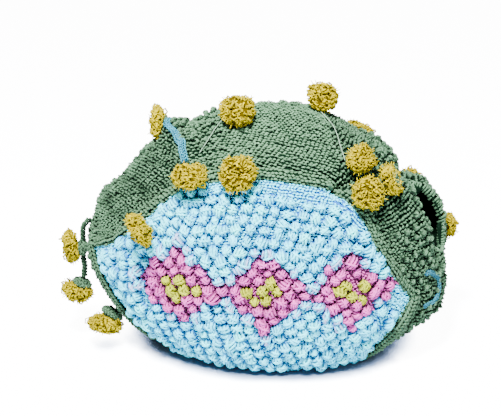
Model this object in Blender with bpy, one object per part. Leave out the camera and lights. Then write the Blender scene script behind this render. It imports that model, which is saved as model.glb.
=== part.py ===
"""Knitted tea cosy with a bobbled front panel, a plain knitted cover and fluffy yarn tufts.

The cosy is a hollow, pointed dome that stands on its hem. Its cloth is five knitted pieces:
a front panel and a back panel of the same almond outline, and between them a left end,
a crown and a spout end. Tufts of looped yarn sit on the cover, some on knitted cups and stalks.
+X runs to the spout, +Y to the back, +Z up; the origin is on the floor, under the middle of the whole.
"""

from math import atan2, cos, degrees, pi, radians, sin

import bmesh
import bpy
import numpy as np
from mathutils import Matrix, Vector
from mathutils.bvhtree import BVHTree

MM = 0.001

# The body: how far its cloth lies, in millimetres, from a centre above the floor.
CENTRE = np.array((9.75, 4.42, 75.0))  # which puts the origin under the middle of the whole
ELEVATION_STEP = 15
BODY_REACH = (
    # elevation, left, right, front, back
    (-60, 100, 98, 102, 100),
    (-45, 108, 104, 100, 96),
    (-30, 126, 121, 92, 89),
    (-15, 139, 138, 85, 82),
    (0, 148, 135, 82.5, 79),
    (15, 144, 135, 83.5, 80),
    (30, 132, 126, 89, 85),
    (45, 128, 116, 97, 93),
    (60, 124, 115, 106, 102),
    (75, 121, 118, 115, 113),
    (90, 119, 119, 119, 119),
)
LEFT, RIGHT, FRONT, BACK = 1, 2, 3, 4
SECTION_POWER = 2.0  # a plan section is an ellipse on average
POWER_SHIFT = 0.08  # and fuller by this much all round
POWER_SKEW = 0.22  # and by this much more at the spout end, less at the left tip
POWER_TURN = 2.5  # how sharply that changes over the middle

# Folds and puckers: a ridge (or groove, where negative) from one point of the cloth to another.
FOLDS = (
    # from azimuth, elevation, to azimuth, elevation, half width mm, height mm
    (172, 50, 181, 51, 8, 9.0),  # peak under the first tuft
    (166, 60, 186, 59, 8, -3.0),  # dip behind the peak
    (195, 48, 209, 41, 7, -4.5),  # fold beside the blue cord
    (204, 55, 212, 47, 8, 2.5),  # its raised side on the crown
    (178, 19, 186, 21, 8, 2.5),  # pucker above the left tip
    (176, 34, 186, 35, 9, 1.0),  # pucker on the left shoulder
    (308, 45, 350, 38, 8, -9.0),  # deep pleat between shoulder and spout end
    (354, 33, 20, 29, 9, -11.0),  # where it runs out over the ridge
    (335, 47, 6, 47, 12, 4.0),  # full shoulder above the pleat
    (320, 30, 352, 29, 9, 3.0),  # full lip below the pleat
    (351, 26, 349, 6, 13, -14.0),  # near lip of the spout opening, drawn in
    (4, 24, 6, 4, 11, 3.0),  # far lip, standing proud
    (338, -14, 356, -18, 10, 3.0),  # thick lower corner of the spout end
    (234, 55, 300, 53, 9, 2.5),  # gathered band along the crown's front
    (226, 20, 256, 26, 26, 3.0),  # fullness of the panel, upper left
    (268, -14, 306, -8, 28, 3.0),  # fullness of the panel, lower right
)
FOLD_RADIUS = 120.0  # millimetres for one unit of direction, in the folds' widths

# Edges between the pieces, as azimuth and elevation; the back edges mirror the front ones.
LEFT_TIP_UP, LEFT_TIP_LOW = (186.5, 3.5), (187.5, 0.0)
RIGHT_TIP_UP, RIGHT_TIP_LOW = (328.5, -5.5), (329.5, -8.5)
CROWN_LEFT, CROWN_RIGHT = (216, 39), (305, 44)
HEM_LEFT_AZIMUTH, HEM_RIGHT_AZIMUTH = 204, 324.5
UPPER_LEFT_EDGE = (LEFT_TIP_UP, (192, 6), (199, 11), (204.5, 19), (209.5, 28), CROWN_LEFT)
CROWN_FRONT_EDGE = (CROWN_LEFT, (226, 44.5), (239, 49), (261, 52.5), (286, 50), CROWN_RIGHT)
UPPER_RIGHT_EDGE = (CROWN_RIGHT, (311, 36), (315, 26), (318, 14), (323, 3), RIGHT_TIP_UP)
LOWER_LEFT_EDGE = (LEFT_TIP_LOW, (191.5, -6), (193, -13), (194.5, -20), (198, -26.5), (204, -31))
LOWER_RIGHT_EDGE = (RIGHT_TIP_LOW, (326, -16), (324.5, -22), (324.5, -29))
LEFT_SEAM = (CROWN_LEFT, (210, 47), (200, 51.5), (189, 53), (180, 53.5))
RIGHT_SEAM = (CROWN_RIGHT, (315, 50.5), (321, 58), (333, 66), (360, 71.5))
UPPER_LEFT_STEPS, CROWN_STEPS, UPPER_RIGHT_STEPS = 9, 12, 11
LOWER_LEFT_STEPS, LOWER_RIGHT_STEPS = 8, 4
HEM_FRONT_STEPS = UPPER_LEFT_STEPS + CROWN_STEPS + UPPER_RIGHT_STEPS
HEM_FRONT_STEPS -= LOWER_LEFT_STEPS + 1 + LOWER_RIGHT_STEPS + 1
# How a seam is shared out from the panel's edge to the ridge line: close by the rolled rim.
SEAM_SHARES = (0, 0.045, 0.10, 0.22, 0.38, 0.58, 0.79, 1)
HEM_SAMPLES = 48
HEM_ELEVATIONS, HALVINGS = (-80.0, -10.0), 40  # where the hem is looked for, and how often that is halved
PER_SPAN = 24  # close points between two points of a table

# Cloth
SEAM_GAP = 0.4  # between neighbouring pieces
GROUND_IN = -2.0  # inner face of all cloth, from the body's reach
GREEN_OUT = 1.5  # outer face of the green cloth
RIM_OUT = (1.0, 5.0, 3.2)  # green cloth at its rolled rim, one step in and two steps in
PANEL_OUT = -0.2  # outer face of the blue cloth between bobbles
BOBBLE_OUT = 4.6  # top of a bobble
PANEL_FINE = 2  # outer grid steps for one inner step
PANEL_ROWS = 15  # rows of bobbles up the panel
BACK_ROWS = 8
FLOOR_CLEAR = 12.0  # below this height bobbles stand out less, and stay off the floor
PLAIN_ROW = 6.0  # rows of bobbles lower than this are knitted plain, towards the tips

# Spout opening
SPOUT_AZIMUTH, SPOUT_ELEVATION = 356, 15
SPOUT_HALF_WIDTH, SPOUT_HALF_HEIGHT = 10.5, 33.0
SPOUT_CORNERS = 16
SPOUT_CUT_FROM, SPOUT_CUT_TO = 85.0, 175.0

# Tufts: where each sits on the body, its radius and half thickness, and where its face looks.
SEAT_GAP = 0.3
CLEAR_START = 40.0  # how far off a piece starts before it is slid to its seat
EDGE_PROBES = (0.25, 0.5, 0.75)  # where along its edges a piece is tried against another
OUTSIDE = 250.0  # farther from the centre than any cloth
LOCK_OUT = 2.4  # how far a lock of yarn stands out of a tuft
LOCK_SPREAD = 0.35  # share by which locks differ
HOLLOW_IN = 0.5  # how far the points between the locks lie inside
TUFT_SEGMENTS, TUFT_RINGS = 12, 6
TUFTS = (
    # name, azimuth, elevation, radius, half thickness, facing azimuth, facing elevation
    ("tuft_crown_left", 220, 73, 13.0, 8.0, 255, 48),
    ("tuft_crown_right", 4, 72.5, 11.0, 7.5, 275, 25),
    ("tuft_shoulder_back", 38, 42, 12.0, 7.0, 30, 60),
    ("tuft_shoulder_front", 324.5, 49.5, 10.5, 7.5, 300, 35),
    ("tuft_pleat_left", 314.5, 36, 12.5, 7.5, 288, 12),
    ("tuft_pleat_right", 328.5, 36.5, 11.0, 5.5, 345, 25),
    ("tuft_spout_back", 23, 16, 12.0, 6.5, 30, 30),
    ("tuft_seam", 227.5, 43, 13.5, 7.0, 240, 68),
    ("tuft_rim", 250, 49.2, 13.0, 8.0, 262, 25),
    ("tuft_left_panel", 215, 20.3, 13.0, 5.5, 358, 36),
)
# Tufts on knitted cups: the cup's foot on the body and the way it points, then where the tuft faces.
CUPPED_TUFTS = (
    # name, foot's azimuth, elevation, pointing azimuth, elevation, cup's radius, length,
    # tuft's radius, half thickness, facing azimuth, elevation
    ("peak", 179, 53.5, 181, 6, 4.5, 3.5, 12.0, 5.5, 181, 8),
    ("spout", 9, 5, 22, -3, 4.5, 4.0, 10.0, 6.0, 25, 0),
    ("tip", 183, 1.5, 184, 2, 5.5, 8.0, 12.5, 6.0, 186, -14),
    ("low", 188.5, -18, 210, -47, 7.5, 11.0, 12.5, 6.0, 235, -72),
)
CUP_SEGMENTS, CUP_RINGS = 8, 6
CUP_SWELL = 0.25  # how much wider a cup is at its rim, narrower at its foot
STALK_RADIUS = 1.9
STALK_SIDES_RESOLUTION = 1  # 6 sides
STALK_STEP = 4.0
STALK_BOW = 4.0  # how far out the bowed stalk runs before it turns down
STALK_BULGE = 1.5  # and how far its middle stands out farther
HANGING_TUFT = (12.0, 6.5)  # radius and half thickness
HANGING_CUP = (5.8, 7.0)  # radius and length
HANGING_DROP = 20.0  # length of the stalk that it hangs on
HANGING_BOW = 0.6  # how far that stalk's middle swings out
HANGING_FACING = (200, -62)
BOWED_STALK_TOP = (182, 10)  # azimuth and elevation at which the bowed stalk leaves the body

# Blue cords: on the fold, and round the lower corner of the spout opening.
FOLD_CORD = ((177, 53), (187, 54), (198, 53.5), (205, 52), (208.5, 49.5))
FOLD_CORD_RADIUS = 2.4
CORNER_CORD = ((335.5, 0.5), (339, -0.5), (341.5, -4), (341, -8), (338.5, -10.5), (335, -11.5))
CORNER_CORD_RADIUS = 1.7
CORD_SAMPLES, CORD_THINNED = 33, 4  # places tried along a cord, and how few of them it runs through

COLOURS = {
    # name: (red, green, blue), roughness
    "blue_yarn": ((0.42, 0.68, 0.86), 0.85),
    "green_yarn": ((0.10, 0.17, 0.115), 0.9),
    "mustard_yarn": ((0.50, 0.37, 0.04), 0.9),
    "light_blue_yarn": ((0.20, 0.52, 0.66), 0.85),
}


def material(name):
    made = bpy.data.materials.get(name) or bpy.data.materials.new(name)
    made.use_nodes = True
    colour, roughness = COLOURS[name]
    shader = made.node_tree.nodes["Principled BSDF"]
    shader.inputs["Base Color"].default_value = (*colour, 1)
    shader.inputs["Roughness"].default_value = roughness
    shader.inputs["Metallic"].default_value = 0
    made.diffuse_color = (*colour, 1)
    return made


def object_from(name, bm, yarn):
    mesh = bpy.data.meshes.new(name)
    bm.to_mesh(mesh)
    bm.free()
    mesh.shade_smooth()
    obj = bpy.data.objects.new(name, mesh)
    obj.data.materials.append(material(yarn))
    bpy.context.scene.collection.objects.link(obj)
    return obj


# ---- the body's shape


def direction(azimuth, elevation):
    a, e = radians(azimuth), radians(elevation)
    return np.array((cos(e) * cos(a), cos(e) * sin(a), sin(e)))


def column(k, elevation):
    """One column of BODY_REACH, as a smooth curve of elevation."""
    table = np.array(BODY_REACH, float)
    reach = np.concatenate([[2 * table[0, k] - table[1, k]], table[:, k], [table[-2, k]]])
    steps = (np.clip(elevation, table[0, 0], 90) - table[0, 0]) / ELEVATION_STEP
    i = np.clip(np.floor(steps).astype(int), 0, len(table) - 2)
    s = steps - i
    before, start, end, after = reach[i], reach[i + 1], reach[i + 2], reach[i + 3]
    bend = 2 * before - 5 * start + 4 * end - after
    return start + s / 2 * (end - before + s * (bend + s * (3 * (start - end) + after - before)))


def fold_height(d):
    total = np.zeros(d.shape[:-1])
    for from_azimuth, from_elevation, to_azimuth, to_elevation, half_width, height in FOLDS:
        a, b = direction(from_azimuth, from_elevation), direction(to_azimuth, to_elevation)
        along = b - a
        t = np.clip((d - a) @ along / (along @ along), 0, 1)
        nearest = a + t[..., None] * along
        nearest /= np.linalg.norm(nearest, axis=-1, keepdims=True)
        apart = np.linalg.norm(d - nearest, axis=-1) * FOLD_RADIUS
        total += height * np.exp(-((apart / half_width) ** 2))
    return total


def reach(d):
    """The body's radius in millimetres in each unit direction."""
    level = np.linalg.norm(d[..., :2], axis=-1)
    elevation = np.degrees(np.arctan2(d[..., 2], level))
    c, s = d[..., 0] / np.maximum(level, 1e-9), d[..., 1] / np.maximum(level, 1e-9)
    along = np.where(c < 0, column(LEFT, elevation), column(RIGHT, elevation))
    across = np.where(s < 0, column(FRONT, elevation), column(BACK, elevation))
    power = SECTION_POWER + (POWER_SHIFT + POWER_SKEW * np.tanh(POWER_TURN * c)) * level
    radius = (np.abs(c / along) ** power + np.abs(s / across) ** power) ** (-1 / power)
    return radius + fold_height(d)


def on_body(d):
    """Points of the body's surface, in millimetres."""
    return d * reach(d)[..., None] + CENTRE


def unit(vectors):
    return vectors / np.maximum(np.linalg.norm(vectors, axis=-1, keepdims=True), 1e-12)


def hem_direction(azimuth):
    """The direction in which the body meets the floor."""
    low, high = HEM_ELEVATIONS
    for _ in range(HALVINGS):
        middle = (low + high) / 2
        if on_body(direction(azimuth, middle))[2] > 0:
            high = middle
        else:
            low = middle
    return direction(azimuth, (low + high) / 2)


# ---- edges as runs of directions


def smooth_points(points):
    """Close points on a smooth curve through a few, Catmull-Rom."""
    p = np.array([2 * points[0] - points[1], *points, 2 * points[-1] - points[-2]])
    run = []
    for i in range(1, len(p) - 2):
        for s in np.arange(PER_SPAN) / PER_SPAN:
            bend = 2 * p[i - 1] - 5 * p[i] + 4 * p[i + 1] - p[i + 2]
            cubic = 3 * (p[i] - p[i + 1]) + p[i + 2] - p[i - 1]
            run.append(p[i] + s / 2 * (p[i + 1] - p[i - 1] + s * (bend + s * cubic)))
    return np.array([*run, p[-2]])


def smooth_run(table):
    return unit(smooth_points([direction(*row) for row in table]))


def lengths_along(run):
    return np.concatenate([[0], np.cumsum(np.linalg.norm(np.diff(run, axis=0), axis=1))])


def shared_out(run, shares):
    """Directions at the given shares of a run's length."""
    lengths = lengths_along(run)
    at = np.asarray(shares) * lengths[-1]
    return unit(np.stack([np.interp(at, lengths, run[:, k]) for k in range(3)], axis=1))


def edge(table, steps):
    return shared_out(smooth_run(table), np.linspace(0, 1, steps + 1))


def mirrored(run):
    return run * np.array((1, -1, 1))


def over_to_back(half):
    """A front half run that ends on the ridge line, carried on to the back."""
    return np.concatenate([half, mirrored(half)[-2::-1]])


def seam(table):
    return over_to_back(shared_out(smooth_run(table), SEAM_SHARES))


def hem(from_azimuth, to_azimuth, steps):
    run = np.array([hem_direction(a) for a in np.linspace(from_azimuth, to_azimuth, HEM_SAMPLES)])
    return shared_out(run, np.linspace(0, 1, steps + 1))


def end_hem(from_azimuth, ridge_azimuth):
    run = np.array([hem_direction(a) for a in np.linspace(from_azimuth, ridge_azimuth, HEM_SAMPLES)])
    return over_to_back(shared_out(run, SEAM_SHARES))


def joined(*runs):
    """Runs end to end, without the doubled ends."""
    return np.concatenate([runs[0], *[run[1:] for run in runs[1:]]])


def refined(run, times):
    """Each step of a run divided, on the straight between its ends."""
    shares = np.arange(times)[:, None] / times
    steps = [a + shares * (b - a) for a, b in zip(run[:-1], run[1:])]
    return unit(np.concatenate([*steps, run[-1:]]))


# ---- cloth


def shares_of(*runs):
    """How far along each point of some like runs lies, on average."""
    lengths = [lengths_along(run) for run in runs]
    return np.mean([length / length[-1] for length in lengths], axis=0)


def between(bottom, top, left, right):
    """A grid of directions inside four edges."""
    u = shares_of(bottom, top)[:, None, None]
    v = shares_of(left, right)[None, :, None]
    across = (1 - v) * bottom[:, None] + v * top[:, None]
    up = (1 - u) * left[None] + u * right[None]
    corners = (1 - u) * ((1 - v) * bottom[0] + v * top[0]) + u * ((1 - v) * bottom[-1] + v * top[-1])
    return unit(across + up - corners)


def face_points(grid, on_floor, out):
    """Points of one face of the cloth, drawn in at its edges for the seam gap, and moved outwards."""
    p = on_body(grid)
    flat = p.copy()
    flat[..., 2] = 0
    p = np.where(on_floor[..., None], flat, p)
    draw = SEAM_GAP / 2
    start = p.copy()
    p[0] += draw * unit(start[1] - start[0])
    p[-1] += draw * unit(start[-2] - start[-1])
    p[:, 0] += np.where(on_floor[:, :1], 0, draw * unit(start[:, 1] - start[:, 0]))
    p[:, -1] += draw * unit(start[:, -2] - start[:, -1])
    p[..., 2] = np.where(on_floor, 0, p[..., 2])
    away = p - CENTRE
    away[..., 2] = np.where(on_floor, 0, away[..., 2])
    return p + unit(away) * out[..., None]


def grid_faces(bm, points, turned, peaks=None):
    """Faces over a grid of points. Where peaks are given, each square is split through its own peak."""
    columns, rows = points.shape[:2]
    verts = [[bm.verts.new(Vector(points[i, j]) * MM) for j in range(rows)] for i in range(columns)]
    for i in range(columns - 1):
        for j in range(rows - 1):
            corners = [verts[i][j], verts[i + 1][j], verts[i + 1][j + 1], verts[i][j + 1]]
            if peaks is None:
                bm.faces.new(corners[::-1] if turned else corners)
                continue
            if peaks[i + 1, j] or peaks[i, j + 1]:
                corners = corners[1:] + corners[:1]
            bm.faces.new((corners[0], corners[1], corners[2]))
            bm.faces.new((corners[0], corners[2], corners[3]))
    return [
        *(verts[i][0] for i in range(columns)),
        *(verts[-1][j] for j in range(1, rows)),
        *(verts[i][-1] for i in range(columns - 2, -1, -1)),
        *(verts[0][j] for j in range(rows - 2, 0, -1)),
    ]


def close_rim(bm, outer, inner):
    """Walls from a fine outer rim to an inner rim with as many or fewer steps."""
    times = len(outer) // len(inner)
    half = (times + 1) // 2
    for i, a in enumerate(inner):
        b = inner[(i + 1) % len(inner)]
        top = [outer[(times * i + k) % len(outer)] for k in range(times + 1)]
        for k in range(times):
            corner = a if k < half else b
            if k == half - 1:
                bm.faces.new((top[k], top[k + 1], b, a) if times == 1 else (top[k], top[k + 1], a))
                if times > 1:
                    bm.faces.new((top[k + 1], b, a))
            else:
                bm.faces.new((top[k], top[k + 1], corner))


def cloth(name, yarn, outer, inner, peaks=None):
    bm = bmesh.new()
    outer_rim = grid_faces(bm, outer, False, peaks)
    inner_rim = grid_faces(bm, inner, True)
    close_rim(bm, outer_rim, inner_rim)
    bmesh.ops.recalc_face_normals(bm, faces=bm.faces)
    return object_from(name, bm, yarn)


def floor_mask(grid, first, last, times=1):
    """Which grid points lie on the floor: the bottom row, from one column to another."""
    mask = np.zeros(grid.shape[:2], bool)
    mask[first * times : last * times + 1, 0] = True
    return mask


def panel_edges():
    """The front panel's edges: lower left and right, bottom, and the top in three lengths and whole."""
    hem_left, hem_right = hem_direction(HEM_LEFT_AZIMUTH), hem_direction(HEM_RIGHT_AZIMUTH)
    above_left, above_right = direction(*LOWER_LEFT_EDGE[-1]), direction(*LOWER_RIGHT_EDGE[-1])
    lower_left = joined(edge(LOWER_LEFT_EDGE, LOWER_LEFT_STEPS), np.array([above_left, hem_left]))
    lower_right = edge(LOWER_RIGHT_EDGE, LOWER_RIGHT_STEPS)[::-1]
    lower_right = joined(np.array([hem_right, above_right]), lower_right)
    hem_front = hem(HEM_LEFT_AZIMUTH, HEM_RIGHT_AZIMUTH, HEM_FRONT_STEPS)
    upper_left = edge(UPPER_LEFT_EDGE, UPPER_LEFT_STEPS)
    crown_front = edge(CROWN_FRONT_EDGE, CROWN_STEPS)
    upper_right = edge(UPPER_RIGHT_EDGE, UPPER_RIGHT_STEPS)
    bottom = joined(lower_left, hem_front, lower_right)
    top = joined(upper_left, crown_front, upper_right)
    return lower_left, lower_right, bottom, upper_left, crown_front, upper_right, top


def bobble_heights(points):
    """Heights of staggered rows of bobbles on the outer grid, lower at the tips, and where they peak."""
    columns, rows = points.shape[:2]
    row_height = np.linalg.norm(points[:, -1] - points[:, 0], axis=-1) / PANEL_ROWS
    full = np.clip((row_height - PLAIN_ROW / 2) / (PLAIN_ROW / 2), 0, 1)[:, None]
    i, j = np.meshgrid(np.arange(columns), np.arange(rows), indexing="ij")
    peaks = (j % 2 == 1) & ((i + j // 2) % 2 == 1)
    inside = (i > 1) & (i < columns - 2)
    clear = np.clip(points[..., 2] / FLOOR_CLEAR, 0, 1)
    return PANEL_OUT + (BOBBLE_OUT - PANEL_OUT) * peaks * inside * full * clear, peaks


def panels(edges):
    lower_left, lower_right, bottom, _, _, _, top = edges
    first, last = len(lower_left) - 1, len(bottom) - len(lower_right)

    def sides(rows, times):
        left = refined(np.array([bottom[0], top[0]]), rows * times)
        right = refined(np.array([bottom[-1], top[-1]]), rows * times)
        return between(refined(bottom, times), refined(top, times), left, right)

    fine, coarse = sides(PANEL_ROWS, PANEL_FINE), sides(PANEL_ROWS, 1)
    fine_floor, coarse_floor = floor_mask(fine, first, last, PANEL_FINE), floor_mask(coarse, first, last)
    level = face_points(fine, fine_floor, np.zeros(fine.shape[:2]))
    heights, peaks = bobble_heights(level)
    outer = face_points(fine, fine_floor, heights)
    inner = face_points(coarse, coarse_floor, np.full(coarse.shape[:2], GROUND_IN))
    front = cloth("front_panel", "blue_yarn", outer, inner, peaks)

    plain = sides(BACK_ROWS, 1)
    floor = floor_mask(plain, first, last)
    back_grid = mirrored(plain)
    outer = face_points(back_grid, floor, np.full(floor.shape, GREEN_OUT))
    inner = face_points(back_grid, floor, np.full(floor.shape, GROUND_IN))
    back = cloth("back_panel", "green_yarn", outer, inner)
    return front, back


def rim_heights(shape):
    """Green cloth with its rolled rims along the first and the last rows."""
    out = np.full(shape, GREEN_OUT)
    for k, height in enumerate(RIM_OUT):
        out[:, k] = height
        out[:, -1 - k] = height
    return out


def covers(edges):
    """Crown, left end and spout end, which run from the front panel over to the back one."""
    lower_left, lower_right, _, upper_left, crown_front, upper_right, _ = edges
    left_seam, right_seam = seam(LEFT_SEAM), seam(RIGHT_SEAM)
    made = []
    grid = between(crown_front, mirrored(crown_front), left_seam, right_seam)
    floor = np.zeros(grid.shape[:2], bool)
    outer = face_points(grid, floor, rim_heights(floor.shape))
    inner = face_points(grid, floor, np.full(floor.shape, GROUND_IN))
    made.append(cloth("crown", "green_yarn", outer, inner))

    left_tip = np.array([direction(*LEFT_TIP_LOW), direction(*LEFT_TIP_UP)])
    right_tip = np.array([direction(*RIGHT_TIP_LOW), direction(*RIGHT_TIP_UP)])
    left_front = joined(lower_left[::-1], left_tip, upper_left)
    right_front = joined(lower_right, right_tip, upper_right[::-1])
    for name, front, top, ridge in (
        ("left_end", left_front, left_seam, 180),
        ("spout_end", right_front, right_seam, 360),
    ):
        bottom = end_hem(HEM_LEFT_AZIMUTH if ridge == 180 else HEM_RIGHT_AZIMUTH, ridge)
        grid = between(bottom, top, front, mirrored(front))
        floor = floor_mask(grid, 0, len(bottom) - 1)
        outer = face_points(grid, floor, rim_heights(floor.shape[::-1]).T)
        inner = face_points(grid, floor, np.full(floor.shape, GROUND_IN))
        made.append(cloth(name, "green_yarn", outer, inner))
    return made


def spout_cutter():
    """An upright almond prism, pushed through the wall along its own radius."""
    bm = bmesh.new()
    bmesh.ops.create_circle(bm, cap_ends=True, segments=SPOUT_CORNERS, radius=1)
    bmesh.ops.scale(bm, verts=bm.verts, vec=(SPOUT_HALF_WIDTH * MM, SPOUT_HALF_HEIGHT * MM, 1))
    pushed = bmesh.ops.extrude_face_region(bm, geom=bm.faces[:])
    moved = [v for v in pushed["geom"] if isinstance(v, bmesh.types.BMVert)]
    bmesh.ops.translate(bm, verts=moved, vec=(0, 0, (SPOUT_CUT_TO - SPOUT_CUT_FROM) * MM))
    bmesh.ops.recalc_face_normals(bm, faces=bm.faces)
    out = Vector(direction(SPOUT_AZIMUTH, SPOUT_ELEVATION))
    side = Vector((0, 0, 1)).cross(out).normalized()
    turn = Matrix((side, out.cross(side), out)).transposed().to_4x4()
    foot = Vector(CENTRE) * MM + out * SPOUT_CUT_FROM * MM
    bm.transform(Matrix.Translation(foot) @ turn)
    cutter = object_from("spout_opening_cutter", bm, "green_yarn")
    cutter.hide_render = True
    cutter.display_type = "WIRE"
    return cutter


def cut_spout_opening(end):
    cut = end.modifiers.new("spout opening", "BOOLEAN")
    cut.operation = "DIFFERENCE"
    cut.solver = "MANIFOLD"
    cut.object = spout_cutter()


# ---- seating one piece on another


def tree_of(obj):
    bpy.context.view_layer.update()
    evaluated = obj.evaluated_get(bpy.context.evaluated_depsgraph_get())
    bm = bmesh.new()
    bm.from_mesh(evaluated.to_mesh())
    evaluated.to_mesh_clear()
    tree = BVHTree.FromBMesh(bm)
    points = [v.co.copy() for v in bm.verts]
    for share in EDGE_PROBES:
        points += [e.verts[0].co.lerp(e.verts[1].co, share) for e in bm.edges]
    bm.free()
    return tree, points


def seat(piece, carriers, toward):
    """Slides a piece along a direction until it lies SEAT_GAP from the first carrier in its way."""
    toward = Vector(toward).normalized()
    piece_tree, piece_points = tree_of(piece)
    free = []
    for tree, points in carriers:
        free += [tree.ray_cast(p, toward)[3] for p in piece_points]
        free += [piece_tree.ray_cast(p, -toward)[3] for p in points]
    distances = [d for d in free if d is not None]
    slide = toward * (min(distances) - SEAT_GAP * MM)
    piece.data.transform(Matrix.Translation(slide))
    return slide


def turn_to(face):
    return Vector((0, 0, 1)).rotation_difference(Vector(face).normalized()).to_matrix().to_4x4()


# ---- tufts, cups and stalks


def tuft(name, centre, face, radius, half_thickness, seed):
    """A flattened ball of yarn whose locks stand out at every other point of its rings."""
    wild = np.random.default_rng(seed)
    bm = bmesh.new()
    bmesh.ops.create_uvsphere(bm, u_segments=TUFT_SEGMENTS, v_segments=TUFT_RINGS, radius=1)
    for v in bm.verts:
        ring = round(degrees(atan2(v.co.z, v.co.xy.length)) / (180 / TUFT_RINGS))
        place = round(atan2(v.co.y, v.co.x) / (2 * pi / TUFT_SEGMENTS))
        lock = abs(ring) <= 1 and (ring + place) % 2 == 0
        out = v.co.normalized()
        v.co = Vector((v.co.x * radius, v.co.y * radius, v.co.z * half_thickness))
        spread = 1 + LOCK_SPREAD * wild.uniform(-1, 1)
        v.co += out * (LOCK_OUT if lock else -HOLLOW_IN) * spread
    bm.transform(Matrix.Translation(Vector(centre) * MM) @ turn_to(face) @ Matrix.Scale(MM, 4))
    return object_from(name, bm, "mustard_yarn")


def cup(name, foot, face, radius, length):
    """A small knitted cup, narrow at its foot, filled by the root of the tuft that it holds."""
    bm = bmesh.new()
    bmesh.ops.create_uvsphere(bm, u_segments=CUP_SEGMENTS, v_segments=CUP_RINGS, radius=1)
    for v in bm.verts:
        wide = radius * (1 + CUP_SWELL * v.co.z)
        v.co = Vector((v.co.x * wide, v.co.y * wide, (v.co.z + 1) * length / 2))
    bm.transform(Matrix.Translation(Vector(foot) * MM) @ turn_to(face) @ Matrix.Scale(MM, 4))
    return object_from(name, bm, "green_yarn")


def tube(name, points, radius, yarn):
    """A knitted cord along a smooth line through points in millimetres."""
    run = smooth_points(points)
    lengths = lengths_along(run)
    at = np.linspace(0, lengths[-1], max(2, round(lengths[-1] / STALK_STEP) + 1))
    line = np.stack([np.interp(at, lengths, run[:, k]) for k in range(3)], axis=1)
    curve = bpy.data.curves.new(name, "CURVE")
    curve.dimensions = "3D"
    curve.bevel_depth = radius * MM
    curve.bevel_resolution = STALK_SIDES_RESOLUTION
    curve.use_fill_caps = True
    spline = curve.splines.new("POLY")
    spline.points.add(len(line) - 1)
    for point, place in zip(spline.points, line):
        point.co = (*(place * MM), 1)
    curve.materials.append(material(yarn))
    obj = bpy.data.objects.new(name, curve)
    bpy.context.scene.collection.objects.link(obj)
    return obj


def cloth_top(d, radius, carriers):
    """How far from the centre the highest cloth lies under a disc of this radius around a direction."""
    out = Vector(d)
    side = out.cross(Vector((0, 0, 1))).normalized()
    up = side.cross(out)
    centre = Vector(CENTRE) * MM + out * OUTSIDE * MM
    nearest = OUTSIDE
    for across in (-1, 0, 1):
        for rise in (-1, 0, 1):
            start = centre + (side * across + up * rise) * radius * MM
            hits = [tree.ray_cast(start, -out)[3] for tree, _ in carriers]
            nearest = min([nearest] + [hit / MM for hit in hits if hit is not None])
    return OUTSIDE - nearest


def surface_cord(name, route, radius, carriers):
    """A cord that lies on the cloth: each point a seat gap clear of the highest cloth under it."""
    run = shared_out(smooth_run(route), np.linspace(0, 1, CORD_SAMPLES))
    tops = [cloth_top(d, radius, carriers) for d in run]
    clear = [max(tops[max(0, k - 2) : k + 3]) + radius + SEAT_GAP for k in range(len(tops))]
    points = [d * far + CENTRE for d, far in zip(run, clear)]
    return tube(name, points[::CORD_THINNED], radius, "light_blue_yarn")


def body_point(azimuth, elevation, out=0.0):
    d = direction(azimuth, elevation)
    return on_body(d) + d * out


def dress(shells):
    """Cords and tufts, each seated on the cloth and on what was sewn on before it."""
    carriers = [tree_of(shell) for shell in shells]
    cords = (
        surface_cord("fold_cord", FOLD_CORD, FOLD_CORD_RADIUS, carriers),
        surface_cord("corner_cord", CORNER_CORD, CORNER_CORD_RADIUS, carriers),
    )
    carriers += [tree_of(cord) for cord in cords]
    for seed, (name, azimuth, elevation, radius, half, face_azimuth, face_elevation) in enumerate(TUFTS):
        d = direction(azimuth, elevation)
        start = body_point(azimuth, elevation, CLEAR_START)
        made = tuft(name, start, direction(face_azimuth, face_elevation), radius, half, seed)
        seat(made, carriers, -d)
        carriers.append(tree_of(made))
    cups = {}
    for seed, row in enumerate(CUPPED_TUFTS, len(TUFTS)):
        name, azimuth, elevation, to_azimuth, to_elevation, cup_radius, length, radius, half, *face = row
        pointing = direction(to_azimuth, to_elevation)
        foot = body_point(azimuth, elevation) + pointing * CLEAR_START
        holder = cup("cup_" + name, foot, pointing, cup_radius, length)
        seat(holder, carriers, -pointing)
        above = foot + pointing * CLEAR_START
        head = tuft("tuft_" + name, above, direction(*face), radius, half, seed)
        seat(head, [*carriers, tree_of(holder)], -pointing)
        cups[name] = holder
    hang(cups["tip"], carriers)


def hang(tip_cup, carriers):
    """The tuft that hangs on a stalk below the tip's cup, and the stalk from that cup up to the body."""
    _, points = tree_of(tip_cup)
    under = np.array(min(points, key=lambda p: p.z)) / MM - (0, 0, SEAT_GAP)
    over = np.array(max(points, key=lambda p: p.z)) / MM + (0, 0, SEAT_GAP)
    foot = under - (0, 0, HANGING_DROP)
    middle = (under + foot) / 2 - (HANGING_BOW, 0, 0)
    stalk = tube("stalk_hanging", [under, middle, foot], STALK_RADIUS, "green_yarn")
    down = direction(*HANGING_FACING)
    holder = cup("cup_hanging", foot + down * CLEAR_START, down, *HANGING_CUP)
    seat(holder, [tree_of(stalk)], -down)
    below = foot + down * 2 * CLEAR_START
    head = tuft("tuft_hanging", below, down, *HANGING_TUFT, len(TUFTS) + len(CUPPED_TUFTS))
    seat(head, [tree_of(holder)], -down)
    d = direction(*BOWED_STALK_TOP)
    top = d * (cloth_top(d, STALK_RADIUS, carriers) + SEAT_GAP) + CENTRE
    outer = top + d * STALK_BOW
    middle = (over + outer) / 2 - (STALK_BULGE, 0, 0)
    tube("stalk_bowed", [over, middle, outer, top], STALK_RADIUS, "green_yarn")


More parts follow.
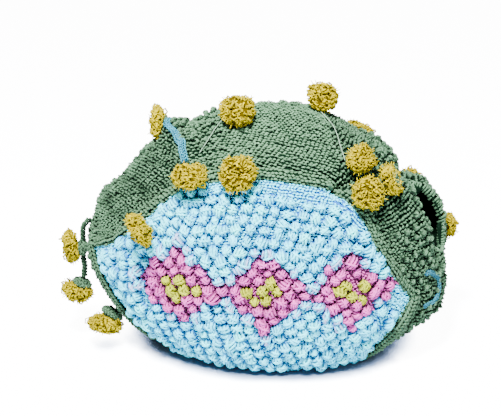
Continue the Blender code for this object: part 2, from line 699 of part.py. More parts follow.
def main():
    for obj in list(bpy.data.objects):
        bpy.data.objects.remove(obj, do_unlink=True)
    edges = panel_edges()
    front, back = panels(edges)
    crown, left_end, spout_end = covers(edges)
    cut_spout_opening(spout_end)
    dress([front, back, crown, left_end, spout_end])


main()
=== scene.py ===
"""A hollow knitted tea cosy: bobbled front, green cover, looped mustard tufts on knitted cups.

Each piece of cloth is a thin sheet on the body's folds. Its stitches, bobbles and loops of yarn
are laid over it as short bent strands, joined into one mesh for each piece. Lengths are in
millimetres. A way out from the body's middle is given as azimuth and elevation, in degrees.
"""

from itertools import product
from math import cos, degrees, pi, radians, sin

import bmesh
import bpy
import numpy as np
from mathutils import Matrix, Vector
from mathutils.kdtree import KDTree

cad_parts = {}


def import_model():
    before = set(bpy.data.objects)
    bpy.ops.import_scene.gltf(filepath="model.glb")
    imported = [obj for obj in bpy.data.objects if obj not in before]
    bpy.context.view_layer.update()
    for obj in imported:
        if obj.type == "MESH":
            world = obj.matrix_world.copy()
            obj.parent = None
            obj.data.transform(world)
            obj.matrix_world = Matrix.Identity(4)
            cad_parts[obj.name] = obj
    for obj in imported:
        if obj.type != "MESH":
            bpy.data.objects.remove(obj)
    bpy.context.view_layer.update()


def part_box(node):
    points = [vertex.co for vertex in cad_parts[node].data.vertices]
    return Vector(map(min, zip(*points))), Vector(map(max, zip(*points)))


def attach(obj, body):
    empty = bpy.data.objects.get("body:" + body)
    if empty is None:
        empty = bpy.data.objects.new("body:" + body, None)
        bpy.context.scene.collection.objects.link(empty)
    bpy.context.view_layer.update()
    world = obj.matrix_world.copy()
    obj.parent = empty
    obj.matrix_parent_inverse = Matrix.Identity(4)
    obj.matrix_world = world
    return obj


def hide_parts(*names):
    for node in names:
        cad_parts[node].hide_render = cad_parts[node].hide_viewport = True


MM = 0.001
PANEL_SEED, LIP_SEED, NUB_SEED, TAPE_SEED, TUFT_SEEDS, CUP_SEEDS = 21, 77, 31, 5, 100, 200

# ---- the body, as the solids have it

CENTRE = np.array((9.75, 4.42, 75.0))
ELEVATION_STEP = 15
BODY_REACH = (
    # elevation, left, right, front, back
    (-60, 100, 98, 102, 100),
    (-45, 108, 104, 100, 96),
    (-30, 126, 121, 92, 89),
    (-15, 139, 138, 85, 82),
    (0, 148, 135, 82.5, 79),
    (15, 144, 135, 83.5, 80),
    (30, 132, 126, 89, 85),
    (45, 128, 116, 97, 93),
    (60, 124, 115, 106, 102),
    (75, 121, 118, 115, 113),
    (90, 119, 119, 119, 119),
)
LEFT, RIGHT, FRONT, BACK = 1, 2, 3, 4
SECTION_POWER, POWER_SHIFT, POWER_SKEW, POWER_TURN = 2.0, 0.08, 0.22, 2.5
FOLDS = (
    # from azimuth, elevation, to azimuth, elevation, half width, height
    (172, 50, 181, 51, 8, 9.0),
    (166, 60, 186, 59, 8, -3.0),
    (195, 48, 209, 41, 7, -4.5),
    (204, 55, 212, 47, 8, 2.5),
    (178, 19, 186, 21, 8, 2.5),
    (176, 34, 186, 35, 9, 1.0),
    (308, 45, 350, 38, 8, -9.0),
    (354, 33, 20, 29, 9, -11.0),
    (335, 47, 6, 47, 12, 4.0),
    (320, 30, 352, 29, 9, 3.0),
    (351, 26, 349, 6, 13, -14.0),
    (4, 24, 6, 4, 11, 3.0),
    (338, -14, 356, -18, 10, 3.0),
    (234, 55, 300, 53, 9, 2.5),
    (226, 20, 256, 26, 26, 3.0),
    (268, -14, 306, -8, 28, 3.0),
)
FOLD_RADIUS = 120.0

LEFT_TIP_UP, LEFT_TIP_LOW = (186.5, 3.5), (187.5, 0.0)
RIGHT_TIP_UP, RIGHT_TIP_LOW = (328.5, -5.5), (329.5, -8.5)
CROWN_LEFT, CROWN_RIGHT = (216, 39), (305, 44)
HEM_LEFT_AZIMUTH, HEM_RIGHT_AZIMUTH = 204, 324.5
UPPER_LEFT_EDGE = (LEFT_TIP_UP, (192, 6), (199, 11), (204.5, 19), (209.5, 28), CROWN_LEFT)
CROWN_FRONT_EDGE = (CROWN_LEFT, (226, 44.5), (239, 49), (261, 52.5), (286, 50), CROWN_RIGHT)
UPPER_RIGHT_EDGE = (CROWN_RIGHT, (311, 36), (315, 26), (318, 14), (323, 3), RIGHT_TIP_UP)
LOWER_LEFT_EDGE = (LEFT_TIP_LOW, (191.5, -6), (193, -13), (194.5, -20), (198, -26.5), (204, -31))
LOWER_RIGHT_EDGE = (RIGHT_TIP_LOW, (326, -16), (324.5, -22), (324.5, -29))
LEFT_SEAM = (CROWN_LEFT, (210, 47), (200, 51.5), (189, 53), (180, 53.5))
RIGHT_SEAM = (CROWN_RIGHT, (315, 50.5), (321, 58), (333, 66), (360, 71.5))
UPPER_LEFT_STEPS, CROWN_STEPS, UPPER_RIGHT_STEPS = 9, 12, 11
LOWER_LEFT_STEPS, LOWER_RIGHT_STEPS = 8, 4
HEM_FRONT_STEPS = UPPER_LEFT_STEPS + CROWN_STEPS + UPPER_RIGHT_STEPS
HEM_FRONT_STEPS -= LOWER_LEFT_STEPS + 1 + LOWER_RIGHT_STEPS + 1
SEAM_SHARES = (0, 0.045, 0.10, 0.22, 0.38, 0.58, 0.79, 1)
HEM_LOWEST, HEM_HIGHEST = -80.0, -10.0
HEM_SAMPLES, HALVINGS, PER_SPAN = 48, 40, 24
PANEL_ROWS, BACK_ROWS = 15, 8
SPOUT_AZIMUTH, SPOUT_ELEVATION = 356, 15
SPOUT_HALF_WIDTH, SPOUT_HALF_HEIGHT = 10.5, 33.0

# ---- the cloth in this scene

FINER = 3  # steps of a sheet for one step of its solid
SHEET_INNER, SHEET_OUTER = -2.0, -0.6
RIM_RISE, RIM_CREST, RIM_WIDTH, RIM_ROOM = 3.2, 3.0, 6.0, 7.4
LEAST_HEIGHT = 1.0  # of a stitch over the floor
MEAN_REACH = 122.0


def unit(vectors):
    return vectors / np.maximum(np.linalg.norm(vectors, axis=-1, keepdims=True), 1e-12)


def direction(azimuth, elevation):
    a, e = np.radians(azimuth), np.radians(elevation)
    return np.stack([np.cos(e) * np.cos(a), np.cos(e) * np.sin(a), np.sin(e)], axis=-1)


def spline(before, start, end, after, share):
    """A share of the way along the smooth curve from start to end."""
    bend = 2 * before - 5 * start + 4 * end - after
    cubic = 3 * (start - end) + after - before
    return start + share / 2 * (end - before + share * (bend + share * cubic))


def reach(side, elevation):
    """How far the body reaches to one side at an elevation."""
    table = np.array(BODY_REACH, float)
    far = np.concatenate([[2 * table[0, side] - table[1, side]], table[:, side], [table[-2, side]]])
    steps = (np.clip(elevation, table[0, 0], 90) - table[0, 0]) / ELEVATION_STEP
    i = np.clip(np.floor(steps).astype(int), 0, len(table) - 2)
    return spline(far[i], far[i + 1], far[i + 2], far[i + 3], steps - i)


def fold_height(d):
    total = np.zeros(d.shape[:-1])
    for *ends, half_width, height in FOLDS:
        a, b = direction(*ends[:2]), direction(*ends[2:])
        along = b - a
        t = np.clip((d - a) @ along / (along @ along), 0, 1)
        apart = np.linalg.norm(d - unit(a + t[..., None] * along), axis=-1) * FOLD_RADIUS
        total += height * np.exp(-((apart / half_width) ** 2))
    return total


def on_body(d):
    """Points of the body's surface."""
    level = np.linalg.norm(d[..., :2], axis=-1)
    elevation = np.degrees(np.arctan2(d[..., 2], level))
    c, s = (d[..., k] / np.maximum(level, 1e-9) for k in (0, 1))
    along = np.where(c < 0, reach(LEFT, elevation), reach(RIGHT, elevation))
    across = np.where(s < 0, reach(FRONT, elevation), reach(BACK, elevation))
    power = SECTION_POWER + (POWER_SHIFT + POWER_SKEW * np.tanh(POWER_TURN * c)) * level
    radius = (np.abs(c / along) ** power + np.abs(s / across) ** power) ** (-1 / power)
    return d * (radius + fold_height(d))[..., None] + CENTRE


def hem_direction(azimuth):
    """Where the body meets the floor."""
    low, high = HEM_LOWEST, HEM_HIGHEST
    for _ in range(HALVINGS):
        middle = (low + high) / 2
        low, high = (low, middle) if on_body(direction(azimuth, middle))[2] > 0 else (middle, high)
    return direction(azimuth, (low + high) / 2)


def smooth_points(points):
    p = np.array([2 * points[0] - points[1], *points, 2 * points[-1] - points[-2]])[:, None]
    shares = np.arange(PER_SPAN)[:, None] / PER_SPAN
    return np.concatenate([spline(p[:-3], p[1:-2], p[2:-1], p[3:], shares).reshape(-1, 3), p[-2]])


def lengths_along(run):
    steps = np.linalg.norm(np.diff(run, axis=-2), axis=-1)
    return np.concatenate([np.zeros((*steps.shape[:-1], 1)), np.cumsum(steps, axis=-1)], axis=-1)


def read_along(run, lengths, at):
    """Points of a run at distances along it."""
    return np.stack([np.interp(at, lengths, run[:, k]) for k in range(3)], axis=-1)


def shared_out(run, shares):
    lengths = lengths_along(run)
    return unit(read_along(run, lengths, shares * lengths[-1]))


def even(steps):
    return np.linspace(0, 1, steps * FINER + 1)


def edge(table, shares):
    return shared_out(unit(smooth_points([direction(*row) for row in table])), shares)


def mirrored(run):
    return run * np.array((1, -1, 1))


def over_to_back(half):
    return np.concatenate([half, mirrored(half)[-2::-1]])


def seam_shares():
    last = len(SEAM_SHARES) - 1
    return np.interp(np.linspace(0, last, last * FINER + 1), np.arange(last + 1), SEAM_SHARES)


def hem_run(from_azimuth, to_azimuth, shares):
    azimuths = np.linspace(from_azimuth, to_azimuth, HEM_SAMPLES)
    return shared_out(np.array([hem_direction(a) for a in azimuths]), shares)


def joined(*runs):
    return np.concatenate([runs[0], *[run[1:] for run in runs[1:]]])


def straight(start, end, steps):
    return unit(start + even(steps)[:, None] * (end - start))


def between(bottom, top, left, right):
    """A grid of directions inside four edges."""

    def shares_of(*runs):
        lengths = [lengths_along(run) for run in runs]
        return np.mean([length / length[-1] for length in lengths], axis=0)

    u = shares_of(bottom, top)[:, None, None]
    v = shares_of(left, right)[None, :, None]
    across = (1 - v) * bottom[:, None] + v * top[:, None]
    up = (1 - u) * left[None] + u * right[None]
    starts, ends = ((1 - v) * bottom[k] + v * top[k] for k in (0, -1))
    return unit(across + up - ((1 - u) * starts + u * ends))


def settled(grid, first=0, last=None):
    """The grid with its hem, the first row, brought down to the floor."""
    for way in grid[first:last, 0]:
        way[:] = hem_direction(np.degrees(np.arctan2(way[1], way[0])))
    return grid


def cloth_grids():
    """The five pieces of cloth as grids of directions, columns first."""
    hem_left, hem_right = hem_direction(HEM_LEFT_AZIMUTH), hem_direction(HEM_RIGHT_AZIMUTH)
    above_left, above_right = direction(*LOWER_LEFT_EDGE[-1]), direction(*LOWER_RIGHT_EDGE[-1])
    lower_left = edge(LOWER_LEFT_EDGE, even(LOWER_LEFT_STEPS))
    lower_left = joined(lower_left, straight(above_left, hem_left, 1))
    lower_right = edge(LOWER_RIGHT_EDGE, even(LOWER_RIGHT_STEPS))[::-1]
    lower_right = joined(straight(hem_right, above_right, 1), lower_right)
    hem_front = hem_run(HEM_LEFT_AZIMUTH, HEM_RIGHT_AZIMUTH, even(HEM_FRONT_STEPS))
    upper_left = edge(UPPER_LEFT_EDGE, even(UPPER_LEFT_STEPS))
    crown_front = edge(CROWN_FRONT_EDGE, even(CROWN_STEPS))
    upper_right = edge(UPPER_RIGHT_EDGE, even(UPPER_RIGHT_STEPS))
    bottom = joined(lower_left, hem_front, lower_right)
    top = joined(upper_left, crown_front, upper_right)
    hem_starts, hem_ends = len(lower_left) - 1, len(lower_left) + len(hem_front) - 1

    def panel(rows):
        sides = straight(bottom[0], top[0], rows), straight(bottom[-1], top[-1], rows)
        return between(bottom, top, *sides)

    shares = seam_shares()
    left_seam, right_seam = (over_to_back(edge(table, shares)) for table in (LEFT_SEAM, RIGHT_SEAM))
    grids = {
        "front_panel": panel(PANEL_ROWS),
        "back_panel": settled(mirrored(panel(BACK_ROWS)), hem_starts, hem_ends),
        "crown": between(crown_front, mirrored(crown_front), left_seam, right_seam),
    }
    tips = (LEFT_TIP_LOW, LEFT_TIP_UP), (RIGHT_TIP_LOW, RIGHT_TIP_UP)
    left_tip, right_tip = (straight(direction(*low), direction(*up), 1) for low, up in tips)
    left_front = joined(lower_left[::-1], left_tip, upper_left)
    right_front = joined(lower_right, right_tip, upper_right[::-1])
    for name, front, top_seam, start, ridge in (
        ("left_end", left_front, left_seam, HEM_LEFT_AZIMUTH, 180),
        ("spout_end", right_front, right_seam, HEM_RIGHT_AZIMUTH, 360),
    ):
        hem = over_to_back(hem_run(start, ridge, shares))
        grids[name] = settled(between(hem, top_seam, front, mirrored(front)))
    return grids


class Cloth:
    """One piece's grid: points of its surface, and frames along and across it, at any place."""

    NEAR = 9.0  # farther than this from every grid point isn't on the piece

    def __init__(self, name, grid):
        self.name, self.grid = name, grid
        self.columns, self.rows = grid.shape[:2]
        self.points = p = on_body(grid)
        p[..., 2] = np.maximum(p[..., 2], 0)
        along, across = np.gradient(p, axis=0), np.gradient(p, axis=1)
        self.step_along = np.linalg.norm(along, axis=-1)
        self.step_across = np.linalg.norm(across, axis=-1)
        normal = unit(np.cross(along, across))
        outward = np.sign(np.sum(normal * (p - CENTRE), axis=-1, keepdims=True))
        self.turned = np.median(outward) < 0
        self.normals = normal * (-1 if self.turned else 1)
        self.along, self.across = unit(along), unit(across)

    def read(self, field, a, b):
        """A grid field at columns a and rows b, which need not be whole."""
        a = np.clip(a, 0, self.columns - 1.001)
        b = np.clip(b, 0, self.rows - 1.001)
        i, j = a.astype(int), b.astype(int)
        s, t = a - i, b - j
        if field.ndim == 3:
            s, t = s[..., None], t[..., None]
        low = (1 - s) * field[i, j] + s * field[i + 1, j]
        return (1 - t) * low + t * ((1 - s) * field[i, j + 1] + s * field[i + 1, j + 1])

    def place(self, a, b):
        """Point, along, across and normal at each place."""
        p = on_body(unit(self.read(self.grid, a, b)))
        normal = unit(self.read(self.normals, a, b))
        along = self.read(self.along, a, b)
        along = unit(along - normal * np.sum(along * normal, axis=-1, keepdims=True))
        return p, along, np.cross(normal, along), normal

    def where(self, p):
        """The columns and rows at which points of the body lie, and which are inside the piece."""
        tree = KDTree(self.columns * self.rows)
        for k, q in enumerate(self.points.reshape(-1, 3)):
            tree.insert(q, k)
        tree.balance()
        found = np.array([tree.find(q)[1] for q in p])
        i, j = found // self.rows, found % self.rows
        apart = p - self.points[i, j]
        along, across = self.along[i, j], self.across[i, j]
        mix = np.sum(along * across, axis=1)
        x, y = np.sum(apart * along, axis=1), np.sum(apart * across, axis=1)
        a = i + (x - mix * y) / (1 - mix * mix) / self.step_along[i, j]
        b = j + (y - mix * x) / (1 - mix * mix) / self.step_across[i, j]
        inside = (a > 0.05) & (a < self.columns - 1.05) & (b > 0.05) & (b < self.rows - 1.05)
        return a, b, inside & (np.linalg.norm(apart, axis=1) < self.NEAR)

    def edge_distance(self, a, b):
        """How far places lie from the first and last column, and from the first and last row."""
        step_a, step_b = self.read(self.step_along, a, b), self.read(self.step_across, a, b)
        return a * step_a, (self.columns - 1 - a) * step_a, b * step_b, (self.rows - 1 - b) * step_b


def spout_axes():
    """The way out through the spout opening, and the ways across and up it."""
    out = direction(SPOUT_AZIMUTH, SPOUT_ELEVATION)
    side = unit(np.cross(np.array((0, 0, 1.0)), out))
    return out, side, np.cross(out, side)


SPOUT_NEAREST, OUTSIDE = 50, 9.0  # least way out along the axis, and the share short of it


def spout_share(p):
    """How far points lie from the axis of the spout opening: below 1 is inside it."""
    out, side, up = spout_axes()
    r = p - CENTRE
    share = np.hypot(r @ side / SPOUT_HALF_WIDTH, r @ up / SPOUT_HALF_HEIGHT)
    return np.where(r @ out > SPOUT_NEAREST, share, OUTSIDE)


# ---- materials


def wired(tree, kind, inputs, **settings):
    """A new node's outputs, with its settings made and its inputs set or linked."""
    node = tree.nodes.new("ShaderNode" + kind)
    for name, value in settings.items():
        setattr(node, name, value)
    feed(tree, node, inputs)
    return node.outputs


def feed(tree, node, inputs):
    for name, value in inputs.items():
        if isinstance(value, bpy.types.NodeSocket):
            tree.links.new(value, node.inputs[name])
        else:
            node.inputs[name].default_value = value


def maths(tree, operation, *values):
    return wired(tree, "Math", dict(enumerate(values)), operation=operation)[0]


def noise(tree, scale, detail):
    where = wired(tree, "TexCoord", {})["Object"]
    return wired(tree, "TexNoise", {"Vector": where, "Scale": scale, "Detail": detail})["Fac"]


PLIES = 3.0
FIBRES, PATCHES = (2600, 3), (260, 2)  # scale and detail
PLY_GAIN, PLY_DARKEST, PATCH_GAIN = 0.22, 0.80, 0.35
RELIEF, ROUGHER = 0.4, 0.15


def yarn_group():
    """The look of plied yarn along a strand: its twist, fine fibres and soft uneven colour."""
    group = bpy.data.node_groups.new("plied yarn", "ShaderNodeTree")
    for way, name, kind in (
        ("INPUT", "Tint", "Color"),
        ("INPUT", "Fibre", "Float"),
        ("INPUT", "Relief", "Float"),
        ("INPUT", "Base roughness", "Float"),
        ("OUTPUT", "Colour", "Color"),
        ("OUTPUT", "Roughness", "Float"),
        ("OUTPUT", "Normal", "Vector"),
    ):
        group.interface.new_socket(name, in_out=way, socket_type="NodeSocket" + kind)
    given = group.nodes.new("NodeGroupInput").outputs
    strand = wired(group, "UVMap", {}, uv_map="strand")["UV"]
    along, around, _ = wired(group, "SeparateXYZ", {0: strand})
    slant = maths(group, "ADD", maths(group, "MULTIPLY", around, PLIES), along)
    wave = maths(group, "SINE", maths(group, "MULTIPLY", slant, 2 * pi))
    ply = maths(group, "MULTIPLY_ADD", wave, 0.5, 0.5)
    fine, patch = noise(group, *FIBRES), noise(group, *PATCHES)
    # painted shade in the grooves between plies: the colour darkens where the twist's wave is low
    gain = maths(group, "MULTIPLY_ADD", ply, PLY_GAIN, PLY_DARKEST)
    gain = maths(group, "MULTIPLY_ADD", maths(group, "SUBTRACT", fine, 0.5), given["Fibre"], gain)
    gain = maths(group, "MULTIPLY_ADD", maths(group, "SUBTRACT", patch, 0.5), PATCH_GAIN, gain)
    height = maths(group, "MULTIPLY_ADD", fine, 0.5, ply)
    relief = {"Distance": RELIEF * MM, "Strength": given["Relief"], "Height": height}
    dye = {0: given["Tint"], "Scale": gain}
    feed(group, group.nodes.new("NodeGroupOutput"), {
        "Colour": wired(group, "VectorMath", dye, operation="SCALE")[0],
        "Roughness": maths(group, "MULTIPLY_ADD", fine, ROUGHER, given["Base roughness"]),
        "Normal": wired(group, "Bump", relief)["Normal"],
    })
    return group


YARNS = (
    # name, fibre, relief, roughness, sheen and its tint, gloss
    ("sage yarn", 0.5, 0.5, 0.9, 0.03, (0.8, 1, 0.85), 0.06),
    # the two under yarns dress the sheets, whose dark colour is painted shade between the stitches
    ("sage yarn under", 0.5, 0.5, 0.9, 0.0, (1, 1, 1), 0.02),
    ("blue yarn", 0.25, 0.4, 0.85, 0.05, (1, 1, 1), 0.12),
    ("blue yarn under", 0.3, 0.5, 0.85, 0.1, (1, 1, 1), 0.12),
    ("mustard yarn", 0.55, 0.5, 0.9, 0.03, (1, 0.9, 0.3), 0.02),
    ("light blue yarn", 0.3, 0.5, 0.85, 0.06, (1, 1, 1), 0.12),
)


def spin_yarns():
    """The yarns, whose colour, with its painted shade, each strand carries in its own attribute."""
    group = yarn_group()
    for name, fibre, relief, roughness, sheen, sheen_tint, gloss in YARNS:
        made = bpy.data.materials.new(name)
        made.use_nodes = True
        tree = made.node_tree
        dye = wired(tree, "VertexColor", {}, layer_name="dye")["Color"]
        given = {"Tint": dye, "Fibre": fibre, "Relief": relief, "Base roughness": roughness}
        look = tree.nodes.new("ShaderNodeGroup")
        look.node_tree = group
        feed(tree, look, given)
        feed(tree, tree.nodes["Principled BSDF"], {
            "Base Color": look.outputs["Colour"],
            "Roughness": look.outputs["Roughness"],
            "Normal": look.outputs["Normal"],
            "Sheen Weight": sheen,
            "Sheen Roughness": 0.5,
            "Sheen Tint": (*sheen_tint, 1),
            "Specular IOR Level": gloss,
        })


def linear(*srgb):
    """A colour given in ordinary 0 to 255 steps, as the shader reads it."""
    c = np.array(srgb) / 255
    return np.where(c <= 0.04045, c / 12.92, ((c + 0.055) / 1.055) ** 2.4)


# Each yarn's darker colour here is painted shade, laid on sunk strand ends, gaps between stitches,
# dark cores and the sheets under the stitches.
SAGE, SAGE_SHADE = linear(80, 116, 87), linear(9, 30, 18)
BLUE, BLUE_LIGHT, BLUE_SHADE = linear(72, 206, 252), linear(78, 230, 255), linear(30, 110, 194)
PINK, PINK_SHADE = linear(204, 82, 168), linear(88, 26, 68)
LIME = linear(164, 170, 26)
MUSTARD, MUSTARD_LIGHT, MUSTARD_SHADE = linear(138, 124, 0), linear(176, 159, 0), linear(66, 54, 0)
CORD_BLUE, CORD_SHADE = linear(46, 138, 158), linear(24, 96, 122) * 0.8
THREAD = linear(118, 150, 126)


def shaken(wild, spread, shape):
    """Numbers scattered about 1."""
    return 1 + spread * wild.standard_normal(shape)


def varied(wild, dye, count, spread):
    """A dye for each strand, a little lighter or darker."""
    return np.clip(dye * shaken(wild, spread, (count, 1)), 0, 1)


def shaded(full, shade_colour, share):
    """Colours for each strand and step: share 0 is the painted shade colour of its sunk parts, and
    share 1 the full dye.
    """
    full, shade_colour = (np.reshape(dye, (-1, 1, 3)) for dye in (full, shade_colour))
    return shade_colour + (full - shade_colour) * share[..., None]


# ---- strands of yarn, joined into one mesh

TWIST = 2.5  # length of yarn in which its plies turn once
SHEET_TWISTS = 400.0  # turns a metre, on a sheet


def per_step(values, shape):
    """Values given once, for each strand, or for each step of each, in the shape of all steps."""
    return np.broadcast_to(values[:, None] if values.ndim == 2 else values, shape)


def placed(name, data, material=None):
    """A new object of the scene."""
    obj = bpy.data.objects.new(name, data)
    if material:
        data.materials.append(bpy.data.materials[material])
    bpy.context.scene.collection.objects.link(obj)
    return obj


def moulded(name, bm, material):
    """A bmesh as a new object of the scene."""
    mesh = bpy.data.meshes.new(name)
    bm.to_mesh(mesh)
    bm.free()
    return placed(name, mesh, material)


class Strands:
    """Bent strands of yarn, gathered and then joined into one mesh."""

    def __init__(self):
        self.points, self.faces, self.uvs, self.dyes_and_shade = [], [], [], []
        self.count = 0

    def keep(self, points, dyes_and_shade):
        self.points.append(points.reshape(-1, 3))
        self.dyes_and_shade.append(dyes_and_shade.reshape(-1, 3))
        self.count += len(self.points[-1])

    def add(self, lines, radius, dye, flatten, sides=4):
        """Tubes along lines (strands, steps, 3), turned so that one side faces flatten."""
        n, k, _ = lines.shape
        ahead = unit(np.gradient(lines, axis=1))
        side = unit(np.cross(ahead, per_step(flatten, lines.shape)))
        up = np.cross(side, ahead)
        turn = 2 * pi * (np.arange(sides) + 0.5) / sides
        ring = side[:, :, None] * np.cos(turn)[:, None] + up[:, :, None] * np.sin(turn)[:, None]
        p = lines[:, :, None] + ring * np.broadcast_to(radius, (n, k))[:, :, None, None]
        base = self.count + np.arange(n)[:, None] * k * sides
        i, s = np.meshgrid(np.arange(k - 1) * sides, np.arange(sides), indexing="ij")
        after = (s + 1) % sides
        corners = np.stack([i + s, i + after, i + sides + after, i + sides + s], axis=-1)
        self.faces.append((base[..., None, None] + corners[None]).reshape(-1, 4))
        length = lengths_along(lines) / TWIST
        along = np.stack([length[:, :-1], length[:, :-1], length[:, 1:], length[:, 1:]], axis=-1)
        around = np.stack([s, s + 1, s + 1, s], axis=-1) / sides
        uv = np.broadcast_arrays(along[:, :, None], around[None])
        self.uvs.append(np.stack(uv, axis=-1).reshape(-1, 4, 2))
        first, last = base + np.arange(sides)[::-1], base + (k - 1) * sides + np.arange(sides)
        for cap, at in ((first, 0), (last, -1)):
            for m in range(1, sides - 1, 2):
                self.faces.append(cap[:, [0, m, m + 1, (m + 2) % sides]])
                uv = np.zeros((n, 4, 2))
                uv[..., 0] = length[:, at][:, None]
                self.uvs.append(uv)
        self.keep(p, np.broadcast_to(per_step(dye, lines.shape)[:, :, None], p.shape))

    def add_shape(self, points, faces, centres, frames, dye):
        """Copies of one small shape: frames is (copies, 3, 3) with its axes in rows."""
        p = centres[:, None] + np.einsum("pk,nkx->npx", points, frames)
        base = self.count + np.arange(len(centres))[:, None, None] * len(points)
        self.faces.append((base + np.array(faces)[None]).reshape(-1, 4))
        self.uvs.append(np.zeros((len(centres) * len(faces), 4, 2)))
        self.keep(p, per_step(dye, p.shape))

    def mesh(self, name, material):
        """All of it as one object, with nothing under the floor."""
        p, faces, uvs, dyes_and_shade = (
            np.concatenate(kept) for kept in (self.points, self.faces, self.uvs, self.dyes_and_shade)
        )
        p[:, 2] = np.maximum(p[:, 2], 0)
        keep = np.ones(faces.shape, bool)
        keep[:, 3] = faces[:, 3] != faces[:, 0]
        mesh = bpy.data.meshes.new(name)
        mesh.vertices.add(len(p))
        mesh.vertices.foreach_set("co", (p * MM).astype(np.float32).ravel())
        mesh.loops.add(keep.sum())
        mesh.loops.foreach_set("vertex_index", faces[keep].astype(np.int32))
        mesh.polygons.add(len(faces))
        starts = np.concatenate([[0], np.cumsum(keep.sum(axis=1))[:-1]])
        mesh.polygons.foreach_set("loop_start", starts.astype(np.int32))
        layer = mesh.uv_layers.new(name="strand")
        layer.data.foreach_set("uv", uvs[keep].astype(np.float32).ravel())
        rgba = np.concatenate([dyes_and_shade, np.ones((len(dyes_and_shade), 1))], axis=1)
        # the dye attribute holds each strand's yarn colour together with its painted shade
        dye = mesh.color_attributes.new("dye", "FLOAT_COLOR", "POINT")
        dye.data.foreach_set("color", rgba.astype(np.float32).ravel())
        mesh.update(calc_edges=True)
        mesh.shade_smooth()
        return placed(name, mesh, material)


def ball(around, rings):
    """Points and faces of a small ball."""
    bm = bmesh.new()
    bmesh.ops.create_uvsphere(bm, u_segments=around, v_segments=rings, radius=1)
    points = np.array([v.co[:] for v in bm.verts])
    quads = [[v.index for v in f.verts] for f in bm.faces]
    bm.free()
    return points, [q if len(q) == 4 else [*q, q[0]] for q in quads]


# ---- sheets


def rim_rise(cloth, a, b, ends):
    """How much the cloth rises towards the rims named in ends."""
    distances = cloth.edge_distance(a, b)
    rises = [np.exp(-(((distances[k] - RIM_CREST) / RIM_WIDTH) ** 2)) for k in ends]
    return RIM_RISE * np.max([np.zeros(np.shape(a)), *rises], axis=0)


def sheet(cloth, material, dye, rims=()):
    """The piece's sheet: an outer face a little under the stitches, an inner face, and its edge.
    Its colour is painted shade, dark in the gaps between the stitches.
    """
    columns, rows = range(cloth.columns), range(cloth.rows)
    a, b = np.meshgrid(columns, rows, indexing="ij")
    rise = rim_rise(cloth, a.astype(float), b.astype(float), rims)
    away = unit(cloth.points - CENTRE)
    away[..., 2] = np.where(cloth.points[..., 2] < 0.5, 0, away[..., 2])
    away = unit(away)
    inside = (spout_share(cloth.points) < 1.0) & (cloth.name == "spout_end")
    cut = inside[:-1, :-1] & inside[1:, :-1] & inside[:-1, 1:] & inside[1:, 1:]
    bm = bmesh.new()
    strand = bm.loops.layers.uv.new("strand")
    dyes_and_shade = bm.verts.layers.float_color.new("dye")
    colours = np.broadcast_to(dye, cloth.points.shape)
    walls = []
    outer, inner = SHEET_OUTER + rise, np.full_like(rise, SHEET_INNER)
    for flipped, out in ((cloth.turned, outer), (not cloth.turned, inner)):
        p = cloth.points + away * out[..., None]
        p[..., 2] = np.maximum(p[..., 2], 0)
        verts = [[bm.verts.new(Vector(p[i, j]) * MM) for j in rows] for i in columns]
        walls.append(sum(verts, []))
        for v, colour in zip(walls[-1], colours.reshape(-1, 3)):
            v[dyes_and_shade] = (*colour, 1)
        for i, j in product(columns[:-1], rows[:-1]):
            if not cut[i, j]:
                ring = [verts[i][j], verts[i + 1][j], verts[i + 1][j + 1], verts[i][j + 1]]
                bm.faces.new(ring[::-1] if flipped else ring).smooth = True
    behind = dict(zip(*walls))
    for e in [e for e in bm.edges if e.is_boundary and e.verts[0] in behind]:
        first, second = e.link_loops[0].vert, e.link_loops[0].link_loop_next.vert
        bm.faces.new((second, first, behind[first], behind[second]))
    bmesh.ops.delete(bm, geom=[v for v in bm.verts if not v.link_faces], context="VERTS")
    for loop in (loop for face in bm.faces for loop in face.loops):
        loop[strand].uv = (loop.vert.co.x * SHEET_TWISTS, loop.vert.co.z * SHEET_TWISTS)
    return moulded(cloth.name + "_sheet", bm, material)


# ---- knitting: places of stitches are rows of columns, cloth rows, odd rows and turns

BRICK = 0.5  # share of a stitch by which odd rows are shifted
FIRST, LAST = 0.4, 0.2  # shares of a stitch left free at the ends of a row
LEAST_APART = 0.78  # in row heights
ROW_SHRINK = 0.57  # how much less a climbing row climbs at its end
LONGEST_GAP = 12.0


def turned(line, angles):
    """A line turned within the cloth by each angle."""
    c, s = np.cos(angles)[:, None], np.sin(angles)[:, None]
    x, y, z = (line[..., k] for k in range(3))
    return np.stack(np.broadcast_arrays(x * c - y * s, x * s + y * c, z), axis=-1)


def thinned(points, least):
    """Which points to keep so that no two are nearer than this."""
    keep, cells, square = np.ones(len(points), bool), {}, least * least
    for k, (x, y, z) in enumerate(points.tolist()):
        cell = tuple(int(v // least) for v in (x, y, z))
        around = product(*((v - 1, v, v + 1) for v in cell))
        if any(
            (x - q[0]) ** 2 + (y - q[1]) ** 2 + (z - q[2]) ** 2 < square
            for other in around
            for q in cells.get(other, ())
        ):
            keep[k] = False
        else:
            cells.setdefault(cell, []).append((x, y, z))
    return keep


def in_order(first, run, cross):
    return (run, cross) if first else (cross, run)


def bricks(number, length, pitch):
    """How far along a row its stitches lie."""
    return np.arange(FIRST + (number % 2) * BRICK, max(0.5, length / pitch - LAST)) * pitch


